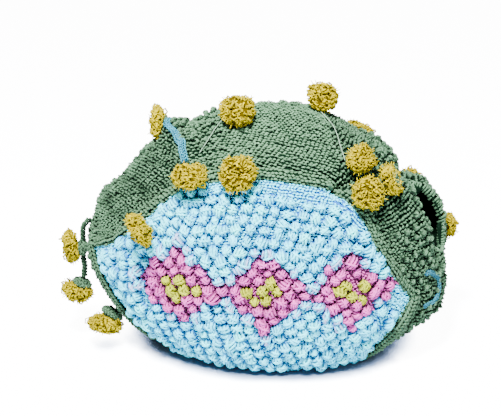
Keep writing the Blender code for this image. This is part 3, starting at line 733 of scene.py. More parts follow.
def rows_along(cloth, pitch, height, along_columns=True, climb=0.0, least=LEAST_APART):
    """Brick-laid places of stitches, in rows a height apart that may climb across the cloth."""

    def summed(steps):
        return np.concatenate([[0], np.cumsum((steps[1:] + steps[:-1]) / 2)])

    steps = cloth.step_across if along_columns else cloth.step_along.T
    runs = (cloth.step_along if along_columns else cloth.step_across.T).mean(axis=1)
    cross_at, run_at = summed(np.percentile(steps, 80, axis=0)), summed(runs)

    def cross_of(start, run):
        distance = np.interp(run, np.arange(len(runs)), run_at)
        level = start + climb * (distance * (1 - ROW_SHRINK * distance / run_at[-1]))
        return np.interp(np.mod(level, cross_at[-1]), cross_at, np.arange(len(cross_at)))

    at = np.linspace(0, len(runs) - 1, len(runs) * 4)
    found = []
    for number, start in enumerate(np.arange(0.5 * height, cross_at[-1] - 0.3 * height, height)):
        p = cloth.place(*in_order(along_columns, at, cross_of(start, at)))[0]
        gaps = np.linalg.norm(np.diff(p, axis=0), axis=1)
        lengths = np.concatenate([[0], np.cumsum(np.where(gaps > LONGEST_GAP, 0.5, gaps))])
        run = np.interp(bricks(number, lengths[-1], pitch), lengths, at)
        places = in_order(along_columns, run, cross_of(start, run))
        found.append([*places, np.full(len(run), number % 2)])
    a, b, odd = np.concatenate(found, axis=1)
    p = cloth.place(a, b)[0]
    spin = np.full(len(a), 0.0 if along_columns else pi / 2)
    return np.stack([a, b, odd, spin])[:, thinned(p, least * height) & (p[:, 2] > LEAST_HEIGHT)]


LEVEL_LOWEST, LEVEL_HIGHEST = -44, 76
LEVEL_SIDE = 82  # azimuth to both sides of the spout
LEVEL_WAVES, LEVEL_WAVE_SHIFT, LEVEL_STEPS = 5, 9, 330


def rows_level(cloth, pitch, height, wave):
    """Places of stitches in level rows round the body, which may wave a little."""
    found = []
    levels = np.arange(radians(LEVEL_LOWEST), radians(LEVEL_HIGHEST), height / MEAN_REACH)
    for number, elevation in enumerate(levels):
        azimuth = np.linspace(-LEVEL_SIDE, LEVEL_SIDE, LEVEL_STEPS)
        waves = np.sin(np.radians(azimuth * LEVEL_WAVES + number * LEVEL_WAVE_SHIFT))
        p = on_body(direction(azimuth, np.degrees(elevation) + wave * waves))
        lengths = lengths_along(p)
        q = read_along(p, lengths, bricks(number, lengths[-1], pitch))
        odd = np.full((len(q), 1), number % 2)
        found.append(np.concatenate([q, unit(np.gradient(q, axis=0)), odd], axis=1))
    found = np.concatenate(found)
    p, way, odd = found[:, :3], found[:, 3:6], found[:, 6]
    a, b, keep = cloth.where(p)
    keep &= p[:, 2] > LEAST_HEIGHT
    keep[keep] &= thinned(p[keep], LEAST_APART * height)
    if cloth.name == "spout_end":
        keep &= spout_share(p) > 1.06
    a, b, odd, way = a[keep], b[keep], odd[keep], way[keep]
    _, along, across, _ = cloth.place(a, b)
    spin = np.arctan2(np.sum(way * across, axis=1), np.sum(way * along, axis=1))
    return np.stack([a, b, odd, spin])


PURL_SINK, PURL_LIFT = 0.9, 0.35


def purl(
    into, cloth, places, wild, dyes_and_shade, pitch, height,
    radius=0.82, rise=2.0, lift=0.0, cross=0.15, steps=5, sides=4, painted_shading=1.0,
):
    """Purl stitches: short bars bent out of the cloth, slanted to and fro from row to row."""
    a, b, odd, spin = places
    n = len(a)
    width = 0.96 * pitch * shaken(wild, 0.12, n)
    tall = rise * shaken(wild, 0.22, n)
    bow = 0.16 * height * shaken(wild, 0.8, n)
    t = np.linspace(-1, 1, steps)
    over = (1 - t * t) ** 0.85
    line = t * width[:, None] / 2, bow[:, None] * (1 - t * t), tall[:, None] * over - PURL_SINK
    shake = (0.12 + 0.5 * cross) * wild.standard_normal(n)
    slant = spin + cross * np.where(odd == 1, 1, -1) + shake
    line = turned(np.stack(line, axis=-1), slant)
    p, along, across, normal = cloth.place(a, b)
    lines = p[:, None] + along[:, None] * line[..., :1] + across[:, None] * line[..., 1:2]
    lifts = SHEET_OUTER + PURL_LIFT + lift * np.ones(n)
    lines = lines + normal[:, None] * (line[..., 2:] + lifts[:, None, None])
    lines = lines + 0.20 * wild.standard_normal((n, 1, 3))
    full, shade_colour, spread = dyes_and_shade
    # painted shade: each bar darkens towards its ends, where it sinks into the cloth
    dye = shaded(varied(wild, full, n, spread), shade_colour, 0.05 + 0.95 * over**1.4)
    thick = radius * shaken(wild, 0.10, (n, 1)) * (0.70 + 0.30 * over)
    # each stitch's colour is scaled by painted light and shade: lighter on swells, darker in
    # hollows, creases and shaded pieces
    into.add(lines, thick, dye * np.reshape(painted_shading, (-1, 1, 1)), normal, sides)


def uneven(p, scale, seed):
    """A soft field over places, about -1 to 1, that swells and sinks every scale millimetres."""
    wild = np.random.default_rng(seed)
    waves = 9
    ways = unit(wild.standard_normal((waves, 3))) * 2 * pi
    ways = ways / (scale * wild.uniform(0.7, 1.6, (waves, 1)))
    phases = wild.uniform(0, 2 * pi, waves)
    return np.sin(p @ ways.T + phases).sum(axis=1) / np.sqrt(waves / 2)


CREASES = (
    # depth, half width, then azimuth and elevation of each point along it
    (0.8, 3.0, ((186, 20.5), (188.5, 22.5), (191.5, 27), (194.5, 30), (200, 31), (205, 31.5))),
    (0.6, 3.0, ((177, 44.5), (181, 42.5), (187, 40.5), (191, 38.5))),
    (0.5, 2.6, ((178, 26.5), (186.5, 30), (192.5, 31))),
    (0.6, 2.6, ((186, 20), (190, 19), (194, 18), (198, 17.5))),
)


def laid_on(route, lift=0.0):
    d = unit(np.array([direction(*row) for row in route]))
    return on_body(d) + d * lift, d


def nearest(p, others):
    """How far each point is from the nearest of the others."""
    parts = (others[k : k + 64] for k in range(0, len(others), 64))
    apart = [np.linalg.norm(p[:, None] - part[None], axis=2).min(axis=1) for part in parts]
    return np.min(apart, axis=0)


def creased(p):
    """How far the cloth sinks at places near a crease."""
    sunk = np.zeros(len(p))
    for depth, half, route in CREASES:
        near = nearest(p, smooth_points(laid_on(route)[0]))
        sunk = np.maximum(sunk, depth * np.exp(-((near / half) ** 2)))
    return sunk


RIM_PITCH, RIM_HEIGHT, RIM_ROWS = 2.9, 2.1, (0.2, 2.2, 4.2, 6.2)
RIM_ROLL, RIM_ROLL_WIDTH = -1.5, 1.4


def rim_rows(into, cloth, end, wild, dyes_and_shade):
    """Stitches along a rolled rim: end 0, 1 is the first, last column, and 2, 3 those rows."""
    rows = end >= 2
    size = cloth.columns if rows else cloth.rows
    at = np.linspace(0, size - 1, size * 4)
    fixed = (0, cloth.columns - 1, 0, cloth.rows - 1)[end]
    lengths = lengths_along(cloth.place(*in_order(rows, at, np.full(len(at), fixed)))[0])
    count = int(lengths[-1] / RIM_PITCH)
    near = cloth.step_across[:, fixed] if rows else cloth.step_along[fixed]
    found = []
    for number, depth in enumerate(RIM_ROWS):
        along = np.interp((np.arange(count) + BRICK * (number % 2)) * RIM_PITCH, lengths, at)
        inward = depth / np.interp(along, np.arange(size), near)
        places = in_order(rows, along, inward if fixed == 0 else fixed - inward)
        roll = RIM_ROLL * np.exp(-((depth / RIM_ROLL_WIDTH) ** 2))
        rest = [np.full(count, value) for value in (number % 2, 0.0 if rows else pi / 2, roll)]
        found.append(np.stack([*places, *rest]))
    found = np.concatenate(found, axis=1)
    p = cloth.place(*found[:2])[0]
    keep = p[:, 2] > LEAST_HEIGHT
    if cloth.name == "spout_end":
        keep &= spout_share(p) > 1.1
    *places, roll = found[:, keep]
    lift = roll + rim_rise(cloth, *places[:2], (end,))
    size = {"radius": 1.1, "rise": 1.8, "cross": 0.16}
    purl(into, cloth, places, wild, dyes_and_shade, RIM_PITCH, RIM_HEIGHT, lift=lift, **size)


KNOT_SPAN, KNOT_CROSS_SPAN, KNOT_CROSS_LIFT = radians(80), radians(52), 0.07
KNOT_CORE = 0.88  # of its size


def knots(into, centres, frames, size, wild, full, shade_colour, second, strands, radius, tall, sides=4):
    """Knitted bobbles: a plump core wound over by strands that bend close to it."""
    n = len(centres)
    t = np.linspace(-1, 1, 5)
    main = strands - 2 if strands > 4 else strands - 1
    turn0 = pi / 2 + 0.5 * wild.standard_normal(n)
    for k in range(strands):
        if k < main:
            offset = (k - (main - 1) / 2) / (main / 2) * 0.92 + 0.05 * wild.standard_normal(n)
            turn = turn0 + 0.12 * wild.standard_normal(n)
            span, over = KNOT_SPAN, 0.0
        else:
            offset = wild.uniform(-0.5, 0.5, n)
            turn = turn0 + pi / 2 + 0.6 * wild.standard_normal(n)
            span, over = KNOT_CROSS_SPAN, KNOT_CROSS_LIFT
        ring = (np.sqrt(np.maximum(1 - offset**2, 0.12)) + over)[:, None]
        x, z = ring * np.sin(t * span), ring * np.cos(t * span) * tall
        local = np.stack([x, np.broadcast_to(offset[:, None], x.shape), z], axis=-1)
        local = turned(local, turn) * size[:, None, None]
        lines = centres[:, None] + np.einsum("nkp,npx->nkx", local, frames)
        tops = varied(wild, np.ones(3), n, 0.06) * (second if k % 2 else full)
        # painted shade: each strand darkens towards the base of the bobble
        dye = shaded(tops, shade_colour, np.clip(1.2 * z / tall, 0, 1) ** 1.2)
        into.add(lines, radius, dye, frames[:, 2], sides)
    points, quads = ball(8, 5)
    # the core is half as bright, with painted shade towards its base
    core = shaded((full + second) / 2 * 0.5, shade_colour, np.clip(points[:, 2] * 1.2, 0, 1))
    frames = frames * (size * KNOT_CORE)[:, None, None]
    into.add_shape(points * (1, 1, tall), quads, centres, frames, core)


# ---- tufts, cups and cords


def side_frames(out, spin=0.0):
    """Frames whose third axis is each outward direction: (n, 3, 3) with axes in rows."""
    out = unit(out)
    guess = np.where(np.abs(out[:, 2:]) > 0.9, np.array((1.0, 0, 0)), np.array((0, 0, 1.0)))
    side = unit(np.cross(guess, out))
    up = np.cross(out, side)
    c, s = np.reshape(np.cos(spin), (-1, 1)), np.reshape(np.sin(spin), (-1, 1))
    return np.stack([side * c + up * s, up * c - side * s, out], axis=1)


def spread_directions(count, wild, jitter=0.12):
    """Directions spread evenly over a ball, a little shaken."""
    k = np.arange(count) + 0.5
    z = 1 - 2 * k / count
    turn = pi * (1 + 5**0.5) * k
    level = np.sqrt(1 - z * z)
    d = np.stack([level * np.cos(turn), level * np.sin(turn), z], axis=1)
    return unit(d + jitter * wild.standard_normal(d.shape))


LOOPS, LOOP_STEPS, LOOSE_ENDS = 300, 6, 60
LUMPS, LUMP_HEIGHT, LUMP_SPREAD, PIT_SPREAD = 11, 0.16, 0.12, 0.10
BOXY = 2.8  # 2 is a round tuft, and more is squarer
LOOP_RADII, LONG_SHARE, LONGER = (0.85, 1.55), 0.08, 0.7
LOOP_LEAN, LOOP_SLIDE, LOOP_WIDER, LOOP_SINK, LOOP_STRAND = 0.45, 1.8, 1.15, 0.9, 0.74
LOOSE_LENGTHS, LOOSE_THICK = (2.0, 4.4), (0.5, 0.45, 0.4, 0.25)


def looped_tuft(name, centre, facing, shape, seed, dimple, heart):
    """A dense ball of curled loops of yarn on a small core, flattened along its facing."""
    wild = np.random.default_rng(seed)
    frame = side_frames(facing[None])[0]
    made = Strands()
    lumps = spread_directions(LUMPS, wild, 0.5)
    heights = wild.uniform(-LUMP_HEIGHT, LUMP_HEIGHT, LUMPS)

    def pit(d):
        return 1 - dimple * np.exp(-(1 - d[:, 2]) / PIT_SPREAD)

    def lumpy(d):
        near = np.exp(-(1 - d @ lumps.T) / LUMP_SPREAD)
        boxy = (np.abs(d) ** BOXY).sum(axis=1) ** (-1 / BOXY)
        return ((1 + near @ heights) * pit(d) * boxy)[:, None]

    def each(values):
        return values[:, None, None]

    d = spread_directions(LOOPS, wild)
    core = np.array([max(r - 2.2, 0.6 * r) for r in shape])
    out = unit(d / shape)
    tangent = unit(np.cross(out, unit(wild.standard_normal(d.shape))))
    drift = np.cross(out, tangent)
    r = wild.uniform(*LOOP_RADII, LOOPS) * (1 + LONGER * (wild.uniform(size=LOOPS) < LONG_SHARE))
    phi = np.linspace(-0.06, 0.98, LOOP_STEPS)[:, None] * 2 * pi
    lean = wild.normal(0, LOOP_LEAN, LOOPS)
    raised = each(r) * (1 - np.cos(phi))
    slide = each(wild.uniform(-LOOP_SLIDE, LOOP_SLIDE, LOOPS))
    slide = slide * (phi / (2 * pi) - 0.5) * drift[:, None]
    slide += each(lean) * each(r) * (1 - np.cos(phi)) * drift[:, None]
    local = (d * core * lumpy(d))[:, None] + raised * out[:, None]
    local = local + each(r) * np.sin(phi) * LOOP_WIDER * tangent[:, None] + slide
    local = local - out[:, None] * LOOP_SINK
    full = MUSTARD + (MUSTARD_LIGHT - MUSTARD) * wild.uniform(0, 1, (LOOPS, 1)) ** 1.5
    full = full * shaken(wild, 0.10, (LOOPS, 1))
    if heart is not None:
        full = full + (heart - full) * np.clip((d[:, 2:] - 0.80) / 0.1, 0, 1)
    # painted shade: loops darken towards their roots, and more in the pit
    share = np.clip((1 - np.cos(phi[:, 0])) / 2 * 1.1, 0, 1)
    share = 0.20 + 0.80 * share * np.where(pit(d) < 0.85, 0.7, 1.0)[:, None]
    thick = LOOP_STRAND * shaken(wild, 0.10, (LOOPS, 1))
    made.add(centre + local @ frame, thick, shaded(full, MUSTARD_SHADE, share), out @ frame)
    d = spread_directions(LOOSE_ENDS, wild, 0.5)
    way = unit(d + 0.7 * wild.standard_normal(d.shape))
    t = np.linspace(0, 1, 4)[None, :, None]
    reached = way[:, None] * wild.uniform(*LOOSE_LENGTHS, (LOOSE_ENDS, 1, 1)) * t
    local = (d * core * lumpy(d))[:, None] + d[:, None] * 1.2 * t + reached
    dye = varied(wild, MUSTARD_LIGHT, LOOSE_ENDS, 0.08)
    made.add(centre + local @ frame, np.array(LOOSE_THICK), dye, d @ frame, 3)
    points, quads = ball(14, 9)
    points = points * (core + 0.4) * lumpy(unit(points))
    # a dark core in painted shade shows between the loops
    made.add_shape(points, quads, centre[None], frame[None], MUSTARD_SHADE * 0.9)
    return made.mesh(name + "_loops", "mustard yarn")


CUP_FLARE = 0.22  # how much wider a cup is at its rim than at its middle
CUP_STITCH, CUP_ROW, CUP_STRAND = 2.7, 2.0, 0.80


def knitted_cup(name, centre, pointing, radius, length, seed):
    """A little knitted cup: rings of slanted stitches round a body that widens to its rim."""
    wild = np.random.default_rng(seed)
    frame = side_frames(pointing[None])[0]
    made = Strands()
    points, quads = ball(14, 8)
    wide = (radius - 0.6) * (1 + CUP_FLARE * points[:, 2:])
    core = np.concatenate([points[:, :2] * wide, points[:, 2:] * length / 2], axis=1)
    # a dark core in painted shade shows between the cup's stitches
    made.add_shape(core, quads, centre[None], frame[None], SAGE_SHADE * 0.8)
    rings = max(2, round((length + radius * 0.8) / CUP_ROW))
    t = np.linspace(-1, 1, 5)
    for k in range(rings):
        h = (k + 0.5) / rings * 2 - 1
        ring = np.sqrt(max(1 - (0.92 * h) ** 2, 0.05)) * radius * (1 + CUP_FLARE * h)
        count = max(5, round(2 * pi * ring / CUP_STITCH))
        turn = (np.arange(count) + (k % 2) / 2) / count * 2 * pi
        reached = ring - 1.0 + 1.7 * (1 - t * t)
        angle = turn[:, None] + t * 0.98 * pi / count
        rise = 0.92 * h * length / 2 + 0.3 * (1 - t * t) + t * 0.45 * (1 if k % 2 else -1)
        rise = rise + 0.25 * wild.standard_normal((count, 1))
        local = np.stack([np.cos(angle) * reached, np.sin(angle) * reached, rise], axis=-1)
        lines = centre + local @ frame
        # painted shade: each stitch darkens towards its ends
        dye = shaded(varied(wild, SAGE * 0.74, count, 0.14), SAGE_SHADE, 1 - t * t)
        made.add(lines, CUP_STRAND, dye, unit(lines[:, 2] - centre))
    return made.mesh(name + "_knit", "sage yarn")


SLICE = 4.0


def slices(node):
    """A centre line through a cord's solid, from its lowest end to its highest."""
    points = np.array([v.co[:] for v in bpy.data.objects[node].data.vertices]) / MM
    low, high = points[points[:, 2].argmin()], points[points[:, 2].argmax()]
    at = (points - low) @ unit(high - low)
    cuts = np.linspace(at.min() - 0.01, at.max() + 0.01, max(3, round(np.ptp(at) / SLICE) + 1))
    groups = [points[(at >= x) & (at < y)] for x, y in zip(cuts[:-1], cuts[1:])]
    line = [group.mean(axis=0) for group in groups if len(group)]
    ends = [points[at < at.min() + 1.0].mean(axis=0), points[at > at.max() - 1.0].mean(axis=0)]
    return np.array([ends[0], *line, ends[1]])


PLAIT_RADIUS, PLAIT_STRAND, PLAIT_TURN = 1.55, 1.15, 8.5


def plaited(node):
    """A stalk: three strands wound round one another along its solid."""
    run = smooth_points(slices(node))
    lengths = lengths_along(run)
    count = max(8, round(lengths[-1] / 0.9))
    at = np.linspace(0, lengths[-1], count)
    p = read_along(run, lengths, at)
    ahead = unit(np.gradient(p, axis=0))
    side = unit(np.cross(ahead, np.broadcast_to((0.0, 1.0, 0.15), ahead.shape)))
    up = np.cross(side, ahead)
    made = Strands()
    for k in range(3):
        phase = at / PLAIT_TURN * 2 * pi + k * 2 * pi / 3
        q = p + PLAIT_RADIUS * (side * np.cos(phase)[:, None] + up * np.sin(phase)[:, None])
        # painted shade: each strand darkens on one side as it winds round
        dye = shaded(SAGE * 0.82, SAGE_SHADE, 0.5 + 0.5 * np.sin(phase + 0.6))
        made.add(q[None], PLAIT_STRAND, dye, up[:1])
    return made.mesh(node + "_plait", "sage yarn")


# ---- narrow tapes, and loose threads

EDGE_LEFT = (
    (187, 5), (190, 1.5), (192, -3), (193.4, -7.5), (194.4, -12),
    (195.6, -16.5), (197.4, -21), (199.6, -25.5), (203, -29.5),
)
TAPES = {
    # two cords on the cloth, and two bands sewn over the lower ends of the front: their yarn, lift,
    # half width, strand radius, pitch, bump, full dye, painted shade, the dye's spread, and route
    "fold_tape": (
        "light blue yarn", 2.2, 2.1, 0.58, 2.4, 1.3, CORD_BLUE * 0.88, CORD_SHADE, 0.16,
        (
            (178.5, 52.8), (184, 51.8), (190, 52.6), (196.5, 52.2),
            (202, 52.4), (207, 50.6), (213, 48),
        ),
    ),
    "corner_tape": (
        "light blue yarn", 2.0, 1.3, 0.5, 2.4, 1.1, CORD_BLUE * 0.66, CORD_SHADE, 0.16,
        ((335.5, 0.5), (339, -0.5), (343, -4), (343, -8), (340, -10.5), (335, -11.5)),
    ),
    "edge_left": ("sage yarn", 1.9, 3.0, 0.92, 3.0, 2.2, SAGE * 0.7, SAGE_SHADE, 0.16, EDGE_LEFT),
    "edge_right": (
        "sage yarn", 1.8, 3.6, 0.98, 3.0, 1.8, SAGE * 0.88, SAGE_SHADE, 0.14,
        (
            (331, -6), (330.4, -9), (328.8, -14), (327.5, -19),
            (326.6, -24), (325.6, -29), (324.2, -35), (322.8, -40),
        ),
    ),
}
TAPE_COLUMNS = (-80, -40, 0, 40, 80)  # degrees round the tape
TAPE_SLANT = 17
THREADS = {
    "thread_left": ((206, 68.5), (210, 64.5), (213, 61), (216, 53.5)),
    "thread_right": ((354.5, 73), (337.5, 67), (329, 62.5), (322, 57.5), (318.5, 52.5)),
}
THREAD_RADIUS, THREAD_LIFT = 0.38, 2.6


def knitted_tape(name):
    """A narrow knitted tape: columns of small slanted stitches round a soft core."""
    material, lift, half, strand, pitch, bump, full, shade_colour, spread, route = TAPES[name]
    line, out = laid_on(route, lift)
    run, outs = smooth_points(line), unit(smooth_points(out))
    lengths = lengths_along(run)
    count = max(3, int(lengths[-1] / pitch))
    at = (np.arange(count) + 0.5) * lengths[-1] / count
    made = Strands()
    wild = np.random.default_rng(TAPE_SEED)
    t = np.linspace(0, 1, 5)
    fields = run, outs, np.gradient(run, axis=0)
    for k, middle_angle in enumerate(TAPE_COLUMNS):
        hand = 1 if k % 2 else -1
        where = at[:, None] + (t[None] - 0.2) * pitch * 1.1
        where = np.clip(where + 0.15 * wild.standard_normal((count, 1)), 0, lengths[-1])
        p, n, ahead = (read_along(field, lengths, where) for field in fields)
        n = unit(n)
        side = np.cross(unit(ahead), n)
        angle = np.radians(middle_angle + hand * TAPE_SLANT * (2 * t - 1))[None, :, None]
        reached = half * shaken(wild, 0.06, (count, 1, 1))
        reached = reached + bump * np.sin(pi * t)[None, :, None] - 0.3
        lines = p + side * np.sin(angle) * reached + n * np.cos(angle) * reached * 0.85
        # painted shade: each stitch darkens towards its ends
        dye = shaded(varied(wild, full, count, spread), shade_colour, 0.1 + 0.9 * np.sin(pi * t))
        made.add(lines, strand, dye, n[:, 2])
    under = read_along(run, lengths, np.linspace(0, lengths[-1], count * 2))
    # a core in the painted shade colour under the stitches
    made.add(under[None], half * 0.9, shade_colour, outs[:1], 8)
    return made.mesh(name, material)


def threads():
    made = []
    for name, route in THREADS.items():
        line, out = laid_on(route, THREAD_LIFT)
        strand, out = Strands(), unit(smooth_points(out))
        strand.add(smooth_points(line)[None], THREAD_RADIUS, THREAD, out[None], 5)
        made.append(strand.mesh(name, "light blue yarn"))
    return made


# ---- the pieces of cloth

UNEVEN_SCALE = 13.0
CREASE_SHADE, LEAST_SHADE, MOST_SHADE = 0.6, 0.3, 1.3
GREEN = {
    # rims, pitch, row height, how the rows lie, climb or wave, slant to and fro, seed
    "crown": ((2, 3), 3.2, 2.35, "along", -0.75, 0.12, 11),
    "left_end": ((0, 1), 2.9, 2.5, "up", 0.0, 0.7, 12),
    "spout_end": ((0, 1), 3.2, 3.0, "level", 2.2, 0.42, 13),
    "back_panel": ((), 3.2, 2.8, "along", 0.0, 0.15, 14),
}
GREEN_LOOKS = {
    # swell of its unevenness and its painted light and shade on the swells and hollows,
    # the whole piece's painted light (above 1) and shade (below 1), and its strands
    "crown": (0.35, 0.08, 1.08, {}),
    "left_end": (0.5, 0.16, 0.80, {"radius": 0.78, "rise": 2.7}),
    "spout_end": (0.4, 0.10, 0.88, {"radius": 0.98, "rise": 2.4, "sides": 3}),
    "back_panel": (0.4, 0.08, 1.08, {"steps": 4, "sides": 3}),
}


def green_cloth(cloth):
    """A green piece: its sheet, its purl stitches and the bound stitches of its rims."""
    rims, pitch, height, lay, climb, cross, seed = GREEN[cloth.name]
    swell, patch_shading, painted_shading, strands = GREEN_LOOKS[cloth.name]
    wild = np.random.default_rng(seed)
    # the sheet's dark colour is painted shade in the gaps between the stitches
    base = sheet(cloth, "sage yarn under", SAGE_SHADE * 0.7, rims)
    if lay == "level":
        places = rows_level(cloth, pitch, height, climb)
    else:
        places = rows_along(cloth, pitch, height, lay == "along", climb)
    for k in rims:
        places = places[:, cloth.edge_distance(*places[:2])[k] > RIM_ROOM]
    p = cloth.place(*places[:2])[0]
    patch, sunk = uneven(p, UNEVEN_SCALE, seed), creased(p)
    lift = rim_rise(cloth, *places[:2], rims) + swell * patch - sunk
    # painted light and shade: stitches lighter on the swells, darker in the hollows and creases
    shade = np.clip(1 + patch_shading * patch - CREASE_SHADE * sunk, LEAST_SHADE, MOST_SHADE)
    made = Strands()
    # the whole piece's colour is scaled by its painted light and shade
    dyes_and_shade = (SAGE * painted_shading, SAGE_SHADE, 0.11)
    looks = {"lift": lift, "cross": cross, "painted_shading": shade, **strands}
    purl(made, cloth, places, wild, dyes_and_shade, pitch, height, **looks)
    parts = [made.mesh(cloth.name + "_stitches", "sage yarn")]
    if rims:
        bound = Strands()
        for end in rims:
            # SAGE * 0.36 is painted shade at the rim stitches' sunk ends
            rim_rows(bound, cloth, end, wild, (SAGE * painted_shading * 0.95, SAGE * 0.36, 0.08))
        parts.append(bound.mesh(cloth.name + "_rims", "sage yarn"))
    return base, parts


LOZENGES = ((-62, 74), (2, 74), (66, 74))  # across and up of each lozenge's middle
LOZENGE_HALF = (37.0, 33.0)
HEART_SHARE = 0.40
BOBBLE_PITCH, BOBBLE_ROW, BOBBLE_SIZE, BOBBLE_ROOM = 10.0, 7.7, 4.6, 3.4
# plain knitting beside the bobbles: above, more of it at the right, at the sides and the hem
PLAIN_TOP, PLAIN_TOP_RIGHT, PLAIN_LEFT, PLAIN_RIGHT, PLAIN_LOW = 7.5, 2, 8, 9, 7.5
LOWEST_BOBBLE, BAND_ROOM = 3.4, 6.7
GROUND_PITCH, GROUND_ROW = 2.7, 2.15
GROUND = (
    # full dye, painted shade of the sunk ends, the dye's spread, strand radius and sides:
    # round the lozenges, and under them
    (BLUE_LIGHT, (BLUE_SHADE + BLUE) / 2, 0.06, 0.84, 4),
    (PINK * 0.9, PINK_SHADE, 0.07, 1.05, 3),
)


def lozenge_share(p):
    """How far a point lies out from the nearest lozenge's middle: 1 is its outline."""
    half_x, half_z = LOZENGE_HALF
    shares = [np.abs(p[..., 0] - x) / half_x + np.abs(p[..., 2] - z) / half_z for x, z in LOZENGES]
    return np.min(shares, axis=0)


def blue_panel(cloth):
    """The front: rows of knitted bobbles on plain blue knitting, with a row of pink lozenges."""
    wild = np.random.default_rng(PANEL_SEED)
    under_pink = lozenge_share(cloth.points)[..., None] < 1.0
    # the sheet's dark blue and pink are painted shade in the gaps between bobbles and stitches
    base = sheet(cloth, "blue yarn under", np.where(under_pink, PINK_SHADE * 1.2, BLUE_SHADE * 0.8))
    a, b, _, _ = rows_along(cloth, BOBBLE_PITCH, BOBBLE_ROW, least=0.86)
    a = a + 0.22 * wild.standard_normal(len(a))
    b = b + 0.16 * wild.standard_normal(len(b))
    left, right, low, high = cloth.edge_distance(a, b)
    p, along, across, normal = cloth.place(a, b)
    at_hem = cloth.place(a, 0 * b)[0][:, 2] < 1
    keep = (high > PLAIN_TOP + PLAIN_TOP_RIGHT * (p[:, 0] > 0)) & (left > PLAIN_LEFT)
    keep &= (right > PLAIN_RIGHT) & (p[:, 2] > LOWEST_BOBBLE) & ((low > PLAIN_LOW) | at_hem)
    keep &= nearest(p, laid_on(EDGE_LEFT)[0]) > BAND_ROOM
    p, along, across, normal, high = (part[keep] for part in (p, along, across, normal, high))
    n = len(p)
    size = BOBBLE_SIZE * shaken(wild, 0.13, n)
    size *= np.clip(0.66 + high / 40, 0.66, 1.0)
    share = lozenge_share(p) + 0.04 * wild.standard_normal(n)
    dye = BLUE_LIGHT * np.ones((n, 3)) * shaken(wild, 0.09, (n, 1))
    # the painted shade colour of each bobble's base and core: blue for blue ones, pink for pink
    # ones, LIME * 0.5 for lime ones
    shade_colour = BLUE_SHADE * np.ones((n, 3))
    pink, heart = share < 1.0, share < HEART_SHARE
    dye[pink], shade_colour[pink] = PINK, PINK_SHADE
    dye[heart], shade_colour[heart] = LIME, LIME * 0.5
    dye[pink] *= shaken(wild, 0.07, (pink.sum(), 1))
    marl = (share > 0.92) & (share < 1.15) & (wild.uniform(size=n) < 0.55)
    dye[marl], shade_colour[marl] = BLUE_LIGHT, BLUE_SHADE
    dye = np.clip(dye, 0, 1)
    second = np.where(marl[:, None], (PINK + BLUE_LIGHT) / 2, dye)
    size[pink] *= 0.96
    centres = p + normal * (SHEET_OUTER + 0.25 * size)[:, None]
    oval = 0.10 * wild.standard_normal((n, 1))
    frames = np.stack([along * (1 + oval), across * (1 - oval), normal], axis=1)
    bobbles, ground = Strands(), Strands()
    wound = {"strands": 6, "radius": 0.9, "tall": 1.08}
    knots(bobbles, centres, frames, size, wild, dye, shade_colour, second, **wound)
    places = rows_along(cloth, GROUND_PITCH, GROUND_ROW)
    q = cloth.place(*places[:2])[0]
    keep = nearest(q, p) > BOBBLE_ROOM
    places, pink = places[:, keep], lozenge_share(q[keep]) < 0.99
    for chosen, (*dyes_and_shade, radius, sides) in zip((~pink, pink), GROUND):
        looks = {"radius": radius, "rise": 1.9, "cross": 0.3, "sides": sides}
        purl(ground, cloth, places[:, chosen], wild, dyes_and_shade, GROUND_PITCH, GROUND_ROW, **looks)
    return base, [bobbles.mesh("bobbles", "blue yarn"), ground.mesh("ground_stitches", "blue yarn")]


LIP_STITCHES = 66
LIP_HUMP = (-4.0, -1.6, 0.4, 1.2, 0.9, -0.2)
# share of the full dye at each step: the rest is painted shade where the stitch dips into the
# opening
LIP_SHARES = (0.2, 0.7, 1, 1, 0.8, 0.4)
LIP_FAR, LIP_STRAND = 132.0, 0.92


def opening_lip():
    """Bound stitches round the spout opening, from inside the cloth over its edge."""
    wild = np.random.default_rng(LIP_SEED)
    out, side, up = spout_axes()
    steps = len(LIP_HUMP)
    turn = (np.arange(LIP_STITCHES) + 0.5) / LIP_STITCHES * 2 * pi
    share = np.linspace(0.90, 1.22, steps)
    slip = np.linspace(-0.05, 0.05, steps)
    x = np.cos(turn[:, None] + slip) * (SPOUT_HALF_WIDTH * share + (share - 1) * 6)
    y = np.sin(turn[:, None] + slip) * (SPOUT_HALF_HEIGHT + (share - 1) * 9)
    d = unit(out * LIP_FAR + side * x[..., None] + up * y[..., None])
    lift = np.array(LIP_HUMP)[:, None] + 0.5 * wild.standard_normal((LIP_STITCHES, 1, 1))
    # painted shade towards the stitches' ends
    dye = shaded(varied(wild, SAGE, LIP_STITCHES, 0.12), SAGE_SHADE, np.array(LIP_SHARES))
    thick = LIP_STRAND * shaken(wild, 0.15, (LIP_STITCHES, 1))
    made = Strands()
    made.add(on_body(d) + d * lift, thick, dye, d[:, 2])
    return made.mesh("opening_lip", "sage yarn")


NUB_AREAS = (
    # azimuth from, to, elevation from, to, spacing, size
    (343, 388, 34, 54, 5.6, 2.2),
    (341, 351.5, -2, 30, 5.6, 2.2),
    (168, 198, 54, 67.5, 5.3, 2.1),
    (196, 214, 56, 67, 5.2, 1.7),
    (172, 181, 16, 24, 5.6, 2.0),
    (171, 182, 36, 46, 5.6, 2.0),
    (171, 184, -8, 2, 5.6, 2.0),
    (322, 342, 34, 48, 5.6, 1.9),
    (326, 344, -28, 22, 8.2, 2.2),
)
NUB_APART, NUB_LIFT = 4.4, 0.8


